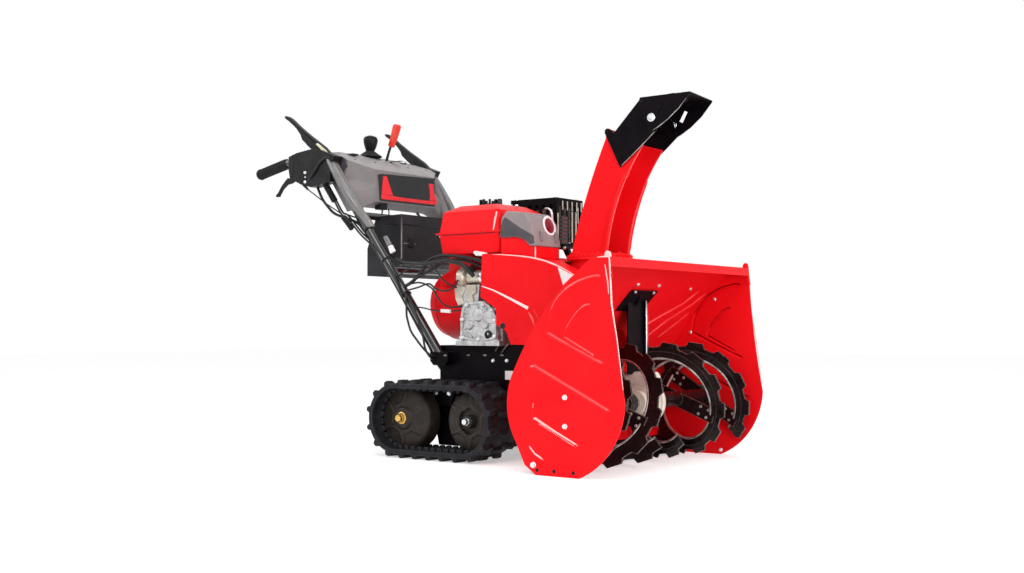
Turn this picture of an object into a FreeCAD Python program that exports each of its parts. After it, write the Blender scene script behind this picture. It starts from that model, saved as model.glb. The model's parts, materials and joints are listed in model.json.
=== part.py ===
import FreeCAD, Part
import math
import os
import Sketcher
from FreeCAD import Placement, Rotation, Vector

# Walk-behind snow blower on rubber tracks, in millimetres.
# +X points forward to the auger, +Y to the machine's left, +Z up; the floor is z = 0.

doc = FreeCAD.newDocument("TrackedSnowBlower")

# ---------------------------------------------------------------------------
# Driving dimensions: one row each, alias and plain number
# ---------------------------------------------------------------------------

SIZES = [
    # tracks
    ("track_inner_y", 158),        # inner edge of each belt from the middle plane
    ("belt_width", 152),
    ("belt_thick", 9),
    ("lug_height", 12),
    ("lug_length", 22),
    ("lug_count", 22),
    ("wheel_radius", 100),
    ("wheel_width", 56),
    ("wheel_inset", 54),           # outer belt edge to the wheel's outer rim
    ("hub_reach", 38),             # hub nut outside the wheel's rim
    ("hub_radius", 25),
    ("wheel_dome", 12),            # disc at the hub outside the rim
    ("sprocket_drop", 12),         # drive wheel's rim below its tooth tips
    ("axle_radius", 14),
    ("drive_axle_x", 160),
    ("wheel_base", 263),
    ("sprocket_teeth", 12),
    ("track_beam_thick", 10),
    # machine frame
    ("frame_half_width", 150),
    ("frame_rear_x", -51),
    ("frame_front_x", 300),
    ("frame_low_z", 95),
    ("deck_z", 347),
    ("frame_sheet", 6),
    # auger housing
    ("housing_width", 816),
    ("plate_thick", 4),
    ("shell_thick", 4),
    ("shell_axis_z", 192),         # centre of the rear wall's arc
    ("shell_radius", 190),
    ("shell_low_angle", 45),
    ("shell_turn_angle", 31),
    ("shell_bow", 22),
    ("shell_top_x", 694),
    ("housing_top_z", 590),
    ("housing_front_x", 751),
    ("front_lip", 24),
    ("plate_nose_x", 797),
    ("plate_margin", 4),           # side plate edge outside the shell
    ("scraper_length", 72),
    ("scraper_thick", 5),
    # auger
    ("auger_axis_x", 604),
    ("auger_axis_z", 184),
    ("auger_radius", 175),
    ("tooth_depth", 14),
    ("teeth_per_turn", 12),
    ("ribbon_width", 50),
    ("ribbon_thick", 6),
    ("auger_inner_y", 62),
    ("auger_end_gap", 5),          # auger end to the bearing plate
    ("auger_turns", 1),
    ("auger_end_angle", -50),      # where each half's first ribbon ends
    ("auger_shaft_radius", 16),
    ("auger_tube_radius", 24),
    ("bearing_radius", 42),
    ("bearing_thick", 6),
    # blower
    ("blower_axis_z", 245),
    ("drum_radius", 156),
    ("drum_sheet", 4),
    ("impeller_radius", 149),
    ("impeller_rear_x", 314),
    ("impeller_front_x", 412),
    ("impeller_blades", 5),
    ("blower_shaft_radius", 13),
    ("neck_top_z", 612),
    ("neck_radius", 80),
    ("ring_radius", 100),
    # chute
    ("chute_axis_x", 456),
    ("chute_rest_angle", 6.5),
    ("chute_width", 140),
    ("chute_sheet", 3),
    ("chute_flange", 15),
    ("guide_gap", 5),
    ("guide_sheet", 3),
    ("guide_hinge_u", 64),
    ("guide_hinge_z", 984),
    ("guide_tip_u", 178),
    ("guide_tip_z", 1064),
    ("guide_pin_radius", 5),
    # engine
    ("engine_axis_y", -10),
    ("engine_axis_z", 480),
    ("fan_radius", 117),
    ("recoil_depth", 58),
    ("starter_y", -146),
    ("starter_z", 560),
    ("starter_radius", 23),
    ("starter_flange_radius", 35),
    ("tank_bottom_z", 633),
    ("tank_seam_z", 700),
    ("tank_shoulder_z", 764),
    ("tank_top_z", 787),
    ("tank_rear_x", -44),
    ("tank_front_x", 212),
    ("tank_right_y", -182),
    ("tank_left_y", 84),
    ("cover_half_width", 200),
    ("cover_sheet", 4),
    # handlebars and console
    ("handle_half_width", 250),    # at the grips
    ("handle_foot_half_width", 162),
    ("handle_tube_radius", 14),
    ("handle_bend_radius", 45),
    ("cross_low_z", 590),
    ("cross_high_z", 770),
    ("grip_radius", 17),
    ("grip_length", 145),
    ("battery_half_width", 142),
    ("console_half_width", 150),
    ("console_wing_half_width", 222),
    ("console_front_x", -334),
    ("sleeve_radius", 19),
    ("cable_radius", 4.5),
    ("loom_radius", 7),
    ("cable_bend", 90),
]

sheet = doc.addObject("Spreadsheet::Sheet", "Sizes")
for row, (alias, number) in enumerate(SIZES, start=1):
    sheet.set(f"A{row}", alias)
    sheet.set(f"B{row}", str(number))
    sheet.setAlias(f"B{row}", alias)
doc.recompute()


class Size:
    """A number with the sheet expression that gives it."""

    def __init__(self, value, text):
        self.value = value
        self.text = text

    def __add__(self, other):
        other = as_size(other)
        return Size(self.value + other.value, f"({self.text} + {other.text})")

    __radd__ = __add__

    def __sub__(self, other):
        other = as_size(other)
        return Size(self.value - other.value, f"({self.text} - {other.text})")

    def __rsub__(self, other):
        return as_size(other) - self

    def __mul__(self, other):
        other = as_size(other)
        return Size(self.value * other.value, f"({self.text} * {other.text})")

    __rmul__ = __mul__

    def __truediv__(self, other):
        other = as_size(other)
        return Size(self.value / other.value, f"({self.text} / {other.text})")

    def __neg__(self):
        return 0 - self


def as_size(number):
    if isinstance(number, Size):
        return number
    return Size(float(number), f"({number})")


def cell(alias):
    """The named cell of the sheet."""
    return Size(float(sheet.get(alias)), f"Sizes.{alias}")


def sine(angle):
    angle = as_size(angle)
    return Size(math.sin(math.radians(angle.value)), f"sin({angle.text})")


def cosine(angle):
    angle = as_size(angle)
    return Size(math.cos(math.radians(angle.value)), f"cos({angle.text})")


def root(number):
    return Size(math.sqrt(number.value), f"sqrt({number.text})")


def bind(thing, **properties):
    """Set each property from its size's expression."""
    for name, number in properties.items():
        thing.setExpression(name.replace("__", "."), as_size(number).text)


# ---------------------------------------------------------------------------
# Sketches, pads and pockets
# ---------------------------------------------------------------------------

def origin_plane(body, role):
    return next(f for f in body.Origin.OriginFeatures if f.Role == role)


def new_sketch(body, name, plane, offset):
    """A sketch on an origin plane of its own body, moved along the plane's normal."""
    sketch = body.newObject("Sketcher::SketchObject", name)
    sketch.AttachmentSupport = (origin_plane(body, plane), [""])
    sketch.MapMode = "FlatFace"
    offset = as_size(offset)
    sketch.AttachmentOffset = Placement(Vector(0, 0, offset.value), Rotation())
    sketch.setExpression("AttachmentOffset.Base.z", offset.text)
    return sketch


def pin_point(sketch, geometry, position, point):
    """Hold a sketch point at two sizes from the sketch origin."""
    for kind, number in (("DistanceX", as_size(point[0])), ("DistanceY", as_size(point[1]))):
        index = sketch.addConstraint(
            Sketcher.Constraint(kind, -1, 1, geometry, position, number.value))
        sketch.setExpression(f"Constraints[{index}]", number.text)


def circle_through(first, middle, last):
    """Centre and radius of the circle through three plane points."""
    circle = Part.Circle(Vector(*first, 0), Vector(*middle, 0), Vector(*last, 0))
    return circle.Center, circle.Radius


def draw_outline(sketch, outline):
    """Draw a closed outline of corners; a third item marks a point that an arc passes through."""
    corners = [i for i, point in enumerate(outline) if len(point) == 2]
    ends = []
    for here, index in enumerate(corners):
        following = corners[(here + 1) % len(corners)]
        start = outline[index]
        stop = outline[following]
        first = (as_size(start[0]).value, as_size(start[1]).value)
        last = (as_size(stop[0]).value, as_size(stop[1]).value)
        between = outline[(index + 1) % len(outline)]
        if len(between) == 2:
            geometry = sketch.addGeometry(Part.LineSegment(Vector(*first, 0), Vector(*last, 0)))
            ends.append((geometry, 1, 2))
            continue
        middle = (as_size(between[0]).value, as_size(between[1]).value)
        centre, radius = circle_through(first, middle, last)
        turn = ((middle[0] - first[0]) * (last[1] - middle[1])
                - (middle[1] - first[1]) * (last[0] - middle[0]))
        begin, finish = (first, last) if turn > 0 else (last, first)
        start_angle = math.atan2(begin[1] - centre.y, begin[0] - centre.x)
        stop_angle = math.atan2(finish[1] - centre.y, finish[0] - centre.x)
        if stop_angle < start_angle:
            stop_angle += 2 * math.pi
        circle = Part.Circle(Vector(centre.x, centre.y, 0), Vector(0, 0, 1), radius)
        geometry = sketch.addGeometry(Part.ArcOfCircle(circle, start_angle, stop_angle))
        ends.append((geometry, 1, 2) if turn > 0 else (geometry, 2, 1))
        mark = sketch.addGeometry(Part.Point(Vector(*middle, 0)), True)
        pin_point(sketch, mark, 1, between)
        sketch.addConstraint(Sketcher.Constraint("PointOnObject", mark, 1, geometry))
    for here, (geometry, begin, finish) in enumerate(ends):
        after, after_begin, _ = ends[(here + 1) % len(ends)]
        sketch.addConstraint(
            Sketcher.Constraint("Coincident", geometry, finish, after, after_begin))
        pin_point(sketch, geometry, begin, outline[corners[here]])


def draw_circle(sketch, x, y, radius):
    """Draw a full circle held by its centre and radius."""
    x, y, radius = as_size(x), as_size(y), as_size(radius)
    centre = Vector(x.value, y.value, 0)
    geometry = sketch.addGeometry(Part.Circle(centre, Vector(0, 0, 1), radius.value))
    pin_point(sketch, geometry, 3, (x, y))
    index = sketch.addConstraint(Sketcher.Constraint("Radius", geometry, radius.value))
    sketch.setExpression(f"Constraints[{index}]", radius.text)


def new_body(label):
    body = doc.addObject("PartDesign::Body", label)
    body.Label = label
    return body


def extrude(body, name, plane, low, high, outlines=(), circles=(), cut=False):
    """Pad or pocket between two places along the plane's axis; XZ sketches face -Y."""
    low, high = as_size(low), as_size(high)
    faces_back = plane == "XZ_Plane"
    start = high if cut != faces_back else low
    offset = -start if faces_back else start
    sketch = new_sketch(body, name + "Sketch", plane, offset)
    for outline in outlines:
        draw_outline(sketch, outline)
    for circle in circles:
        draw_circle(sketch, *circle)
    kind = "PartDesign::Pocket" if cut else "PartDesign::Pad"
    feature = body.newObject(kind, name)
    feature.Profile = sketch
    feature.Length = high.value - low.value
    bind(feature, Length=high - low)
    return feature


def loft(body, name, sections, cut=False):
    """Loft between outlines given as (plane, offset, outline)."""
    sketches = []
    for count, (plane, offset, outline) in enumerate(sections):
        sketch = new_sketch(body, f"{name}Section{count}", plane, offset)
        draw_outline(sketch, outline)
        sketches.append(sketch)
    kind = "PartDesign::SubtractiveLoft" if cut else "PartDesign::AdditiveLoft"
    feature = body.newObject(kind, name)
    feature.Profile = sketches[0]
    feature.Sections = sketches[1:]
    return feature


def revolve(body, name, outline, plane="XY_Plane", axis="V_Axis"):
    """Revolve an outline about one axis of its sketch."""
    sketch = new_sketch(body, name + "Sketch", plane, 0)
    draw_outline(sketch, outline)
    feature = body.newObject("PartDesign::Revolution", name)
    feature.Profile = sketch
    feature.ReferenceAxis = (sketch, [axis])
    feature.Angle = 360
    return feature


def polar(body, name, features, axis_role, count):
    """Repeat features evenly round one of the body's own axes."""
    pattern = body.newObject("PartDesign::PolarPattern", name)
    pattern.Originals = features
    axis = next(f for f in body.Origin.OriginFeatures if f.Role == axis_role)
    pattern.Axis = (axis, [""])
    pattern.Angle = 360
    pattern.Occurrences = int(as_size(count).value)
    bind(pattern, Occurrences=count)
    body.Tip = pattern
    return pattern


def linear(body, name, features, axis_role, length, count):
    """Repeat features in a row along one of the body's own axes."""
    pattern = body.newObject("PartDesign::LinearPattern", name)
    pattern.Originals = features
    axis = next(f for f in body.Origin.OriginFeatures if f.Role == axis_role)
    pattern.Direction = (axis, [""])
    pattern.Length = as_size(length).value
    pattern.Occurrences = int(as_size(count).value)
    bind(pattern, Length=length)
    body.Tip = pattern
    return pattern


def round_edges(body, name, radius, wanted):
    """Fillet the edges of the body's last feature that the test picks."""
    doc.recompute()
    base = body.Tip
    names = [f"Edge{i}" for i, edge in enumerate(base.Shape.Edges, start=1) if wanted(edge)]
    feature = body.newObject("PartDesign::Fillet", name)
    feature.Base = (base, names)
    feature.Radius = as_size(radius).value
    bind(feature, Radius=radius)
    return feature


def along(edge, axis):
    """True for a straight edge that runs along the axis."""
    if edge.Curve.TypeId != "Part::GeomLine":
        return False
    direction = edge.lastVertex().Point - edge.firstVertex().Point
    return direction.cross(axis).Length < 1e-6 * max(direction.Length, 1)


X_AXIS = Vector(1, 0, 0)
Y_AXIS = Vector(0, 1, 0)
Z_AXIS = Vector(0, 0, 1)


# ---------------------------------------------------------------------------
# Part workbench helpers
# ---------------------------------------------------------------------------

def cylinder(label, base, axis, radius, length):
    """Part cylinder from a base point along an axis."""
    thing = doc.addObject("Part::Cylinder", label)
    bind(thing, Radius=radius, Height=length)
    point = [as_size(v) for v in base]
    thing.Placement = Placement(Vector(*(v.value for v in point)), Rotation(Z_AXIS, axis))
    bind(thing, Placement__Base__x=point[0], Placement__Base__y=point[1],
         Placement__Base__z=point[2])
    return thing


def box(label, low, high):
    """Part box between two corners."""
    thing = doc.addObject("Part::Box", label)
    low = [as_size(v) for v in low]
    high = [as_size(v) for v in high]
    bind(thing, Length=high[0] - low[0], Width=high[1] - low[1], Height=high[2] - low[2],
         Placement__Base__x=low[0], Placement__Base__y=low[1], Placement__Base__z=low[2])
    return thing


def fuse(label, things):
    joined = doc.addObject("Part::MultiFuse", label)
    joined.Label = label
    joined.Shapes = things
    joined.Refine = True
    return joined


def cut(label, base, tool):
    result = doc.addObject("Part::Cut", label)
    result.Label = label
    result.Base = base
    result.Tool = tool
    return result


def common(label, base, tool):
    result = doc.addObject("Part::Common", label)
    result.Label = label
    result.Base = base
    result.Tool = tool
    return result


def mirrored(label, source):
    """The same piece on the other side of the machine's middle plane."""
    result = doc.addObject("Part::Mirroring", label)
    result.Label = label
    result.Source = source
    result.Base = Vector(0, 0, 0)
    result.Normal = Y_AXIS
    return result


def pair(label, source):
    """A piece and its mirror image as one sub-part of separate solids."""
    result = doc.addObject("Part::Compound", label)
    result.Label = label
    result.Links = [source, mirrored(label + "Twin", source)]
    return result


def feature(label, shape):
    """A piece whose shape comes from Part's own functions."""
    thing = doc.addObject("Part::Feature", label)
    thing.Label = label
    thing.Shape = shape
    return thing


def rounded_path(points, radius):
    """Straight runs joined by tangent arcs; each arc fits the shorter run beside it."""
    edges = []
    start = points[0]
    for before, corner, after in zip(points, points[1:], points[2:]):
        inward = (before - corner).normalize()
        outward = (after - corner).normalize()
        turn = math.pi - inward.getAngle(outward)
        room = 0.45 * min((before - corner).Length, (after - corner).Length)
        reach = min(radius * math.tan(turn / 2), room)
        bend = reach / math.tan(turn / 2)
        first = corner + inward * reach
        last = corner + outward * reach
        centre_line = (inward + outward).normalize()
        centre = corner + centre_line * (bend / math.cos(turn / 2))
        middle = centre - centre_line * bend
        edges.append(Part.LineSegment(start, first).toShape())
        edges.append(Part.Arc(first, middle, last).toShape())
        start = last
    edges.append(Part.LineSegment(start, points[-1]).toShape())
    return Part.Wire(edges)


def swept_tube(label, points, bend_radius, radius):
    """Round bar swept along a rounded path."""
    path = feature(label + "Path", rounded_path(points, bend_radius))
    ring = doc.addObject("Part::Circle", label + "Ring")
    bind(ring, Radius=radius)
    ring.Placement = Placement(points[0], Rotation(Z_AXIS, points[1] - points[0]))
    sweep = doc.addObject("Part::Sweep", label)
    sweep.Label = label
    sweep.Sections = [ring]
    sweep.Spine = (path, [f"Edge{i + 1}" for i in range(len(path.Shape.Edges))])
    sweep.Solid = True
    sweep.Frenet = False
    return sweep


parts = []


def keep(*things):
    """Sub-parts that are written to files."""
    parts.extend(things)


# ---------------------------------------------------------------------------
# Tracks, wheels and their frame
# ---------------------------------------------------------------------------

wheel_z = cell("wheel_radius") + cell("belt_thick") + cell("lug_height")
drive_x = cell("drive_axle_x")
idler_x = drive_x - cell("wheel_base")
rim_outer_y = cell("track_inner_y") + cell("belt_width") - cell("wheel_inset")
rim_inner_y = rim_outer_y - cell("wheel_width")


def loop_point(distance, offset):
    """A point of the track loop: distance run along the belt's middle, offset outwards."""
    pitch_radius = cell("wheel_radius").value + cell("belt_thick").value / 2
    base = cell("wheel_base").value
    half_turn = math.pi * pitch_radius
    along_loop = distance % (2 * base + 2 * half_turn)
    reach = pitch_radius + offset
    if along_loop < base:
        return Vector(drive_x.value - along_loop, 0, wheel_z.value + reach)
    if along_loop < base + half_turn:
        angle = math.pi / 2 + (along_loop - base) / pitch_radius
        return Vector(idler_x.value + reach * math.cos(angle), 0,
                      wheel_z.value + reach * math.sin(angle))
    if along_loop < 2 * base + half_turn:
        return Vector(idler_x.value + along_loop - base - half_turn, 0, wheel_z.value - reach)
    angle = -math.pi / 2 + (along_loop - 2 * base - half_turn) / pitch_radius
    return Vector(drive_x.value + reach * math.cos(angle), 0,
                  wheel_z.value + reach * math.sin(angle))


def track_belt():
    """Rubber loop with its lugs in the outline, on the left side."""
    half_thick = cell("belt_thick").value / 2
    pitch_radius = cell("wheel_radius").value + half_thick
    total = 2 * cell("wheel_base").value + 2 * math.pi * pitch_radius
    count = int(cell("lug_count").value)
    pitch = total / count
    lug = cell("lug_length").value
    tip = 0.62 * lug
    rise = cell("lug_height").value
    outline = []
    for number in range(count):
        middle = (number + 0.5) * pitch
        outline.append(loop_point(middle - lug / 2, half_thick))
        outline.append(loop_point(middle - tip / 2, half_thick + rise))
        outline.append(loop_point(middle + tip / 2, half_thick + rise))
        outline.append(loop_point(middle + lug / 2, half_thick))
        outline.append(loop_point(middle + pitch / 2, half_thick))
    outer = Part.makePolygon(outline + outline[:1])
    radius = cell("wheel_radius").value
    high = wheel_z.value + radius
    low = wheel_z.value - radius
    corners = [Vector(drive_x.value, 0, high), Vector(idler_x.value, 0, high),
               Vector(idler_x.value, 0, low), Vector(drive_x.value, 0, low)]
    rear = Vector(idler_x.value - radius, 0, wheel_z.value)
    front = Vector(drive_x.value + radius, 0, wheel_z.value)
    inner = Part.Wire([
        Part.LineSegment(corners[0], corners[1]).toShape(),
        Part.Arc(corners[1], rear, corners[2]).toShape(),
        Part.LineSegment(corners[2], corners[3]).toShape(),
        Part.Arc(corners[3], front, corners[0]).toShape()])
    ring = Part.Face(outer).cut(Part.Face(inner))
    ring.translate(Vector(0, cell("track_inner_y").value, 0))
    return ring.extrude(Vector(0, cell("belt_width").value, 0)).Solids[0]


track_left = feature("track_left", track_belt())
track_right = mirrored("track_right", track_left)
keep(track_left, track_right)


def wheel_profile(rim_radius):
    """Profile of the left wheel from its bore out to the hub nut and the rim."""
    hub = cell("hub_radius")
    bore = cell("axle_radius")
    web_inner = rim_outer_y - 14
    dome = rim_outer_y + cell("wheel_dome")
    hub_end = rim_outer_y + cell("hub_reach")
    return [(bore, hub_end), (bore + 4, hub_end), (bore + 4, dome + 5), (hub, dome + 5),
            (hub + 3, dome), (rim_radius - 14, rim_outer_y - 5), (rim_radius - 8, rim_outer_y),
            (rim_radius, rim_outer_y), (rim_radius, rim_inner_y), (rim_radius - 6, rim_inner_y),
            (rim_radius - 8, web_inner), (hub, web_inner), (hub, rim_inner_y), (bore, rim_inner_y)]


def wheel_body(label, rim_radius):
    """Dished left wheel, turned about its axle."""
    body = new_body(label)
    revolve(body, label + "Turned", wheel_profile(rim_radius))
    return body


def wheel_set(label, wheel, centre_x):
    """The wheel, its mirror image and their axle as one sub-part of three solids."""
    bind(wheel, Placement__Base__x=centre_x, Placement__Base__z=wheel_z)
    hub_end = rim_outer_y + cell("hub_reach")
    axle = cylinder(label + "Axle", (centre_x, -hub_end, wheel_z), Y_AXIS, cell("axle_radius"), 2 * hub_end)
    result = doc.addObject("Part::Compound", label)
    result.Label = label
    result.Links = [wheel, mirrored(label + "Twin", wheel), axle]
    return result


idler_wheels = wheel_set("idler_wheels", wheel_body("IdlerWheel", cell("wheel_radius")), idler_x)
drive_wheel = wheel_body("DriveWheel", cell("wheel_radius") - cell("sprocket_drop"))
tooth_y = rim_outer_y - 20
tooth_root = cell("wheel_radius") - cell("sprocket_drop") - 4
tooth_tip = cell("wheel_radius") - 0.5
tooth = extrude(drive_wheel, "Tooth", "XZ_Plane", tooth_y - 10, tooth_y, [[
    (-12, tooth_root), (12, tooth_root), (9, tooth_tip - 2), (0, tooth_tip, "through"),
    (-9, tooth_tip - 2)]])
polar(drive_wheel, "SprocketTeeth", [tooth], "Y_Axis", cell("sprocket_teeth"))
drive_wheels = wheel_set("drive_wheels", drive_wheel, drive_x)
keep(idler_wheels, drive_wheels)

# Track beams: one plate inside each loop, tied by a cross tube behind the machine frame
beam_low_y = cell("track_inner_y") + 8
beam_high_y = beam_low_y + cell("track_beam_thick")
track_frame = new_body("track_frame")
beam_outline = [
    (idler_x - 34, wheel_z - 24), (idler_x - 40, wheel_z, "through"), (idler_x - 34, wheel_z + 24),
    (idler_x + 20, wheel_z + 70), (drive_x - 30, wheel_z + 74),
    (drive_x + 34, wheel_z + 24), (drive_x + 40, wheel_z, "through"), (drive_x + 34, wheel_z - 24),
    (drive_x - 60, wheel_z - 30), (drive_x - 96, wheel_z - 86), (idler_x + 70, wheel_z - 86),
    (idler_x + 56, wheel_z - 30)]
cross_x = idler_x + 25
cross_z = wheel_z + 44
axle_hole = cell("axle_radius")
extrude(track_frame, "LeftBeam", "XZ_Plane", beam_low_y, beam_high_y, [beam_outline])
extrude(track_frame, "CrossTube", "XZ_Plane", -beam_high_y, beam_high_y,
        circles=[(cross_x, cross_z, 15)])
extrude(track_frame, "RightBeam", "XZ_Plane", -beam_high_y, -beam_low_y, [beam_outline])
extrude(track_frame, "AxleHoles", "XZ_Plane", -beam_high_y - 1, beam_high_y + 1, cut=True,
        circles=[(idler_x, wheel_z, axle_hole), (drive_x, wheel_z, axle_hole)])
keep(track_frame)

# ---------------------------------------------------------------------------
# Machine frame
# ---------------------------------------------------------------------------

half_frame = cell("frame_half_width")
rear_x = cell("frame_rear_x")
front_x = cell("frame_front_x")
deck_z = cell("deck_z")
low_z = cell("frame_low_z")
frame_sheet = cell("frame_sheet")
mount_reach = 32
mount_x = (rear_x - 15, rear_x + 57)
mount_z = (deck_z - 63, deck_z - 21)

main_frame = new_body("main_frame")
extrude(main_frame, "Channel", "YZ_Plane", rear_x, front_x, [[
    (-half_frame, low_z), (-half_frame, deck_z), (half_frame, deck_z), (half_frame, low_z),
    (half_frame - frame_sheet, low_z), (half_frame - frame_sheet, deck_z - frame_sheet),
    (frame_sheet - half_frame, deck_z - frame_sheet), (frame_sheet - half_frame, low_z)]])
for name, low, high in (("MountLeft", half_frame - frame_sheet, half_frame + mount_reach),
                        ("MountRight", -half_frame - mount_reach, frame_sheet - half_frame)):
    extrude(main_frame, name, "XZ_Plane", low, high, [[
        (mount_x[0], mount_z[0] + 14), (mount_x[0], mount_z[1]), (mount_x[1], mount_z[1]),
        (mount_x[1], mount_z[0] + 14), (mount_x[1] - 14, mount_z[0]), (mount_x[0] + 14, mount_z[0])]])
extrude(main_frame, "RearCorner", "XZ_Plane", -half_frame - 1, half_frame + 1,
        [[(rear_x - 1, low_z - 1), (rear_x - 1, 210), (rear_x + 40, 150), (rear_x + 90, low_z - 1)]],
        cut=True)
extrude(main_frame, "AxleBore", "XZ_Plane", -half_frame - 1, half_frame + 1,
        circles=[(drive_x, wheel_z, cell("axle_radius") + 0.5)], cut=True)
keep(main_frame)

transmission = new_body("transmission")
extrude(transmission, "Case", "XZ_Plane", -112, 112, [[
    (20, 190), (20, deck_z - frame_sheet), (236, deck_z - frame_sheet), (236, 170), (90, 150)]])
keep(transmission)

# ---------------------------------------------------------------------------
# Auger housing
# ---------------------------------------------------------------------------

auger_x = cell("auger_axis_x")
auger_z = cell("auger_axis_z")
shell_z = cell("shell_axis_z")
half_housing = cell("housing_width") / 2
inner_housing = half_housing - cell("plate_thick")
auger_outer_y = inner_housing - cell("bearing_thick") - cell("auger_end_gap")
top_z = cell("housing_top_z")
lip_x = cell("housing_front_x")


def shell_point(radius, angle):
    """A point of the rear wall's arc, by its angle above the arc's centre."""
    return (auger_x - radius * cosine(angle), shell_z + radius * sine(angle))


def shell_curve(inset):
    """Rear wall from its lower edge to the top, moved in from the outer face."""
    radius = cell("shell_radius") - inset
    low = shell_point(radius, -cell("shell_low_angle"))
    turn = shell_point(radius, cell("shell_turn_angle"))
    top = (cell("shell_top_x") + inset * 0.7, top_z - inset)
    run_x = top[0] - turn[0]
    run_z = top[1] - turn[1]
    length = root(run_x * run_x + run_z * run_z)
    bow = cell("shell_bow")
    middle = ((turn[0] + top[0]) / 2 - bow * run_z / length,
              (turn[1] + top[1]) / 2 + bow * run_x / length, "through")
    belly = shell_point(radius, 0) + ("through",)
    return [low, belly, turn, middle, top]


def shell_space(label, inset, half_width):
    """Everything in front of the wall face, as a tool solid."""
    body = new_body(label)
    curve = shell_curve(inset)
    extrude(body, label + "Block", "XZ_Plane", -half_width, half_width,
            [curve + [(lip_x + 60, curve[-1][1]), (lip_x + 60, curve[0][1])]])
    return body


auger_housing_shell = new_body("auger_housing_shell")
outer_curve = shell_curve(0)
inner_curve = shell_curve(cell("shell_thick"))
thick = cell("shell_thick")
extrude(auger_housing_shell, "RearWall", "XZ_Plane", -inner_housing, inner_housing, [
    outer_curve + [(lip_x, top_z), (lip_x, top_z - cell("front_lip")),
                   (lip_x - thick, top_z - cell("front_lip")), (lip_x - thick, top_z - thick)]
    + list(reversed(inner_curve))])
drum_bore = cylinder("DrumBore", (380, 0, cell("blower_axis_z")), X_AXIS, cell("drum_radius"), 160)
auger_housing = cut("auger_housing", auger_housing_shell, drum_bore)

plate_radius = cell("shell_radius") + cell("plate_margin")
plate_low = shell_point(plate_radius, -32)
plate_turn = shell_point(plate_radius, cell("shell_turn_angle"))
plate_mid = shell_curve(-cell("plate_margin"))[3]
plate_outline = [
    (auger_x + 47, 0), (752, 78, "through"), (cell("plate_nose_x"), shell_z + 12),
    (762, 440, "through"), (lip_x, top_z - 4), (738, top_z + 3), (709, top_z + 2),
    (688, top_z - 5), plate_mid, plate_turn, shell_point(plate_radius, 0) + ("through",),
    plate_low, (471, 26), (auger_x - 95, 0)]
side_plate_left = new_body("side_plate_left")
extrude(side_plate_left, "Plate", "XZ_Plane", inner_housing, half_housing, [plate_outline])
extrude(side_plate_left, "ShoeHoles", "XZ_Plane", inner_housing - 1, half_housing + 1, cut=True,
        circles=[(auger_x - 64, 14, 4.5), (auger_x + 26, 14, 4.5)])
side_plate_right = mirrored("side_plate_right", side_plate_left)
keep(auger_housing, side_plate_left, side_plate_right)

scraper_low = shell_point(cell("shell_radius"), -cell("shell_low_angle"))
run = cell("scraper_length")
slope_x = sine(cell("shell_low_angle"))
slope_z = -cosine(cell("shell_low_angle"))
edge = cell("scraper_thick")
scraper_blank = new_body("ScraperBlank")
extrude(scraper_blank, "Bar", "XZ_Plane", -inner_housing, inner_housing, [[
    scraper_low, (scraper_low[0] + run * slope_x, scraper_low[1] + run * slope_z),
    (scraper_low[0] + run * slope_x + edge * slope_z, scraper_low[1] + run * slope_z - edge * slope_x),
    (scraper_low[0] - 12 * slope_x + edge * slope_z, scraper_low[1] - 12 * slope_z - edge * slope_x),
    (scraper_low[0] - 12 * slope_x - 1, scraper_low[1] - 12 * slope_z)]])
shell_back = new_body("ShellBack")
extrude(shell_back, "ShellBackBlock", "XZ_Plane", -half_housing, half_housing, [[
    scraper_low] + outer_curve[1:] + [(lip_x, top_z), (lip_x, scraper_low[1])]])
scraper_bar = cut("scraper_bar", scraper_blank, shell_back)
keep(scraper_bar)

# Bearing plates for the auger shaft, on the inner faces of the side plates
bearing_left = new_body("bearing_left")
extrude(bearing_left, "Boss", "XZ_Plane", inner_housing - cell("bearing_thick"), inner_housing,
        circles=[(auger_x, auger_z, cell("bearing_radius")),
                 (auger_x, auger_z, cell("auger_shaft_radius") + 0.3)])
keep(pair("auger_bearings", bearing_left))

# ---------------------------------------------------------------------------
# Blower drum with its outlet neck
# ---------------------------------------------------------------------------

blower_z = cell("blower_axis_z")
drum_outer = cell("drum_radius") + cell("drum_sheet")
chute_x = cell("chute_axis_x")
neck_top = cell("neck_top_z")


def neck_sections(half_x, half_y, radius, low, high):
    """A rectangle on the drum and a circle under the chute, with matching corners."""
    middle_x = front_x + 62
    rectangle = [(middle_x + half_x, -half_y), (middle_x + half_x, half_y),
                 (middle_x - half_x, half_y), (middle_x - half_x, -half_y)]
    corner = radius * cosine(45)
    ring = [(chute_x + corner, -corner), (chute_x + radius, 0, "through"),
            (chute_x + corner, corner), (chute_x, radius, "through"),
            (chute_x - corner, corner), (chute_x - radius, 0, "through"),
            (chute_x - corner, -corner), (chute_x, -radius, "through")]
    return [("XY_Plane", low, rectangle), ("XY_Plane", high, ring)]


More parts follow.
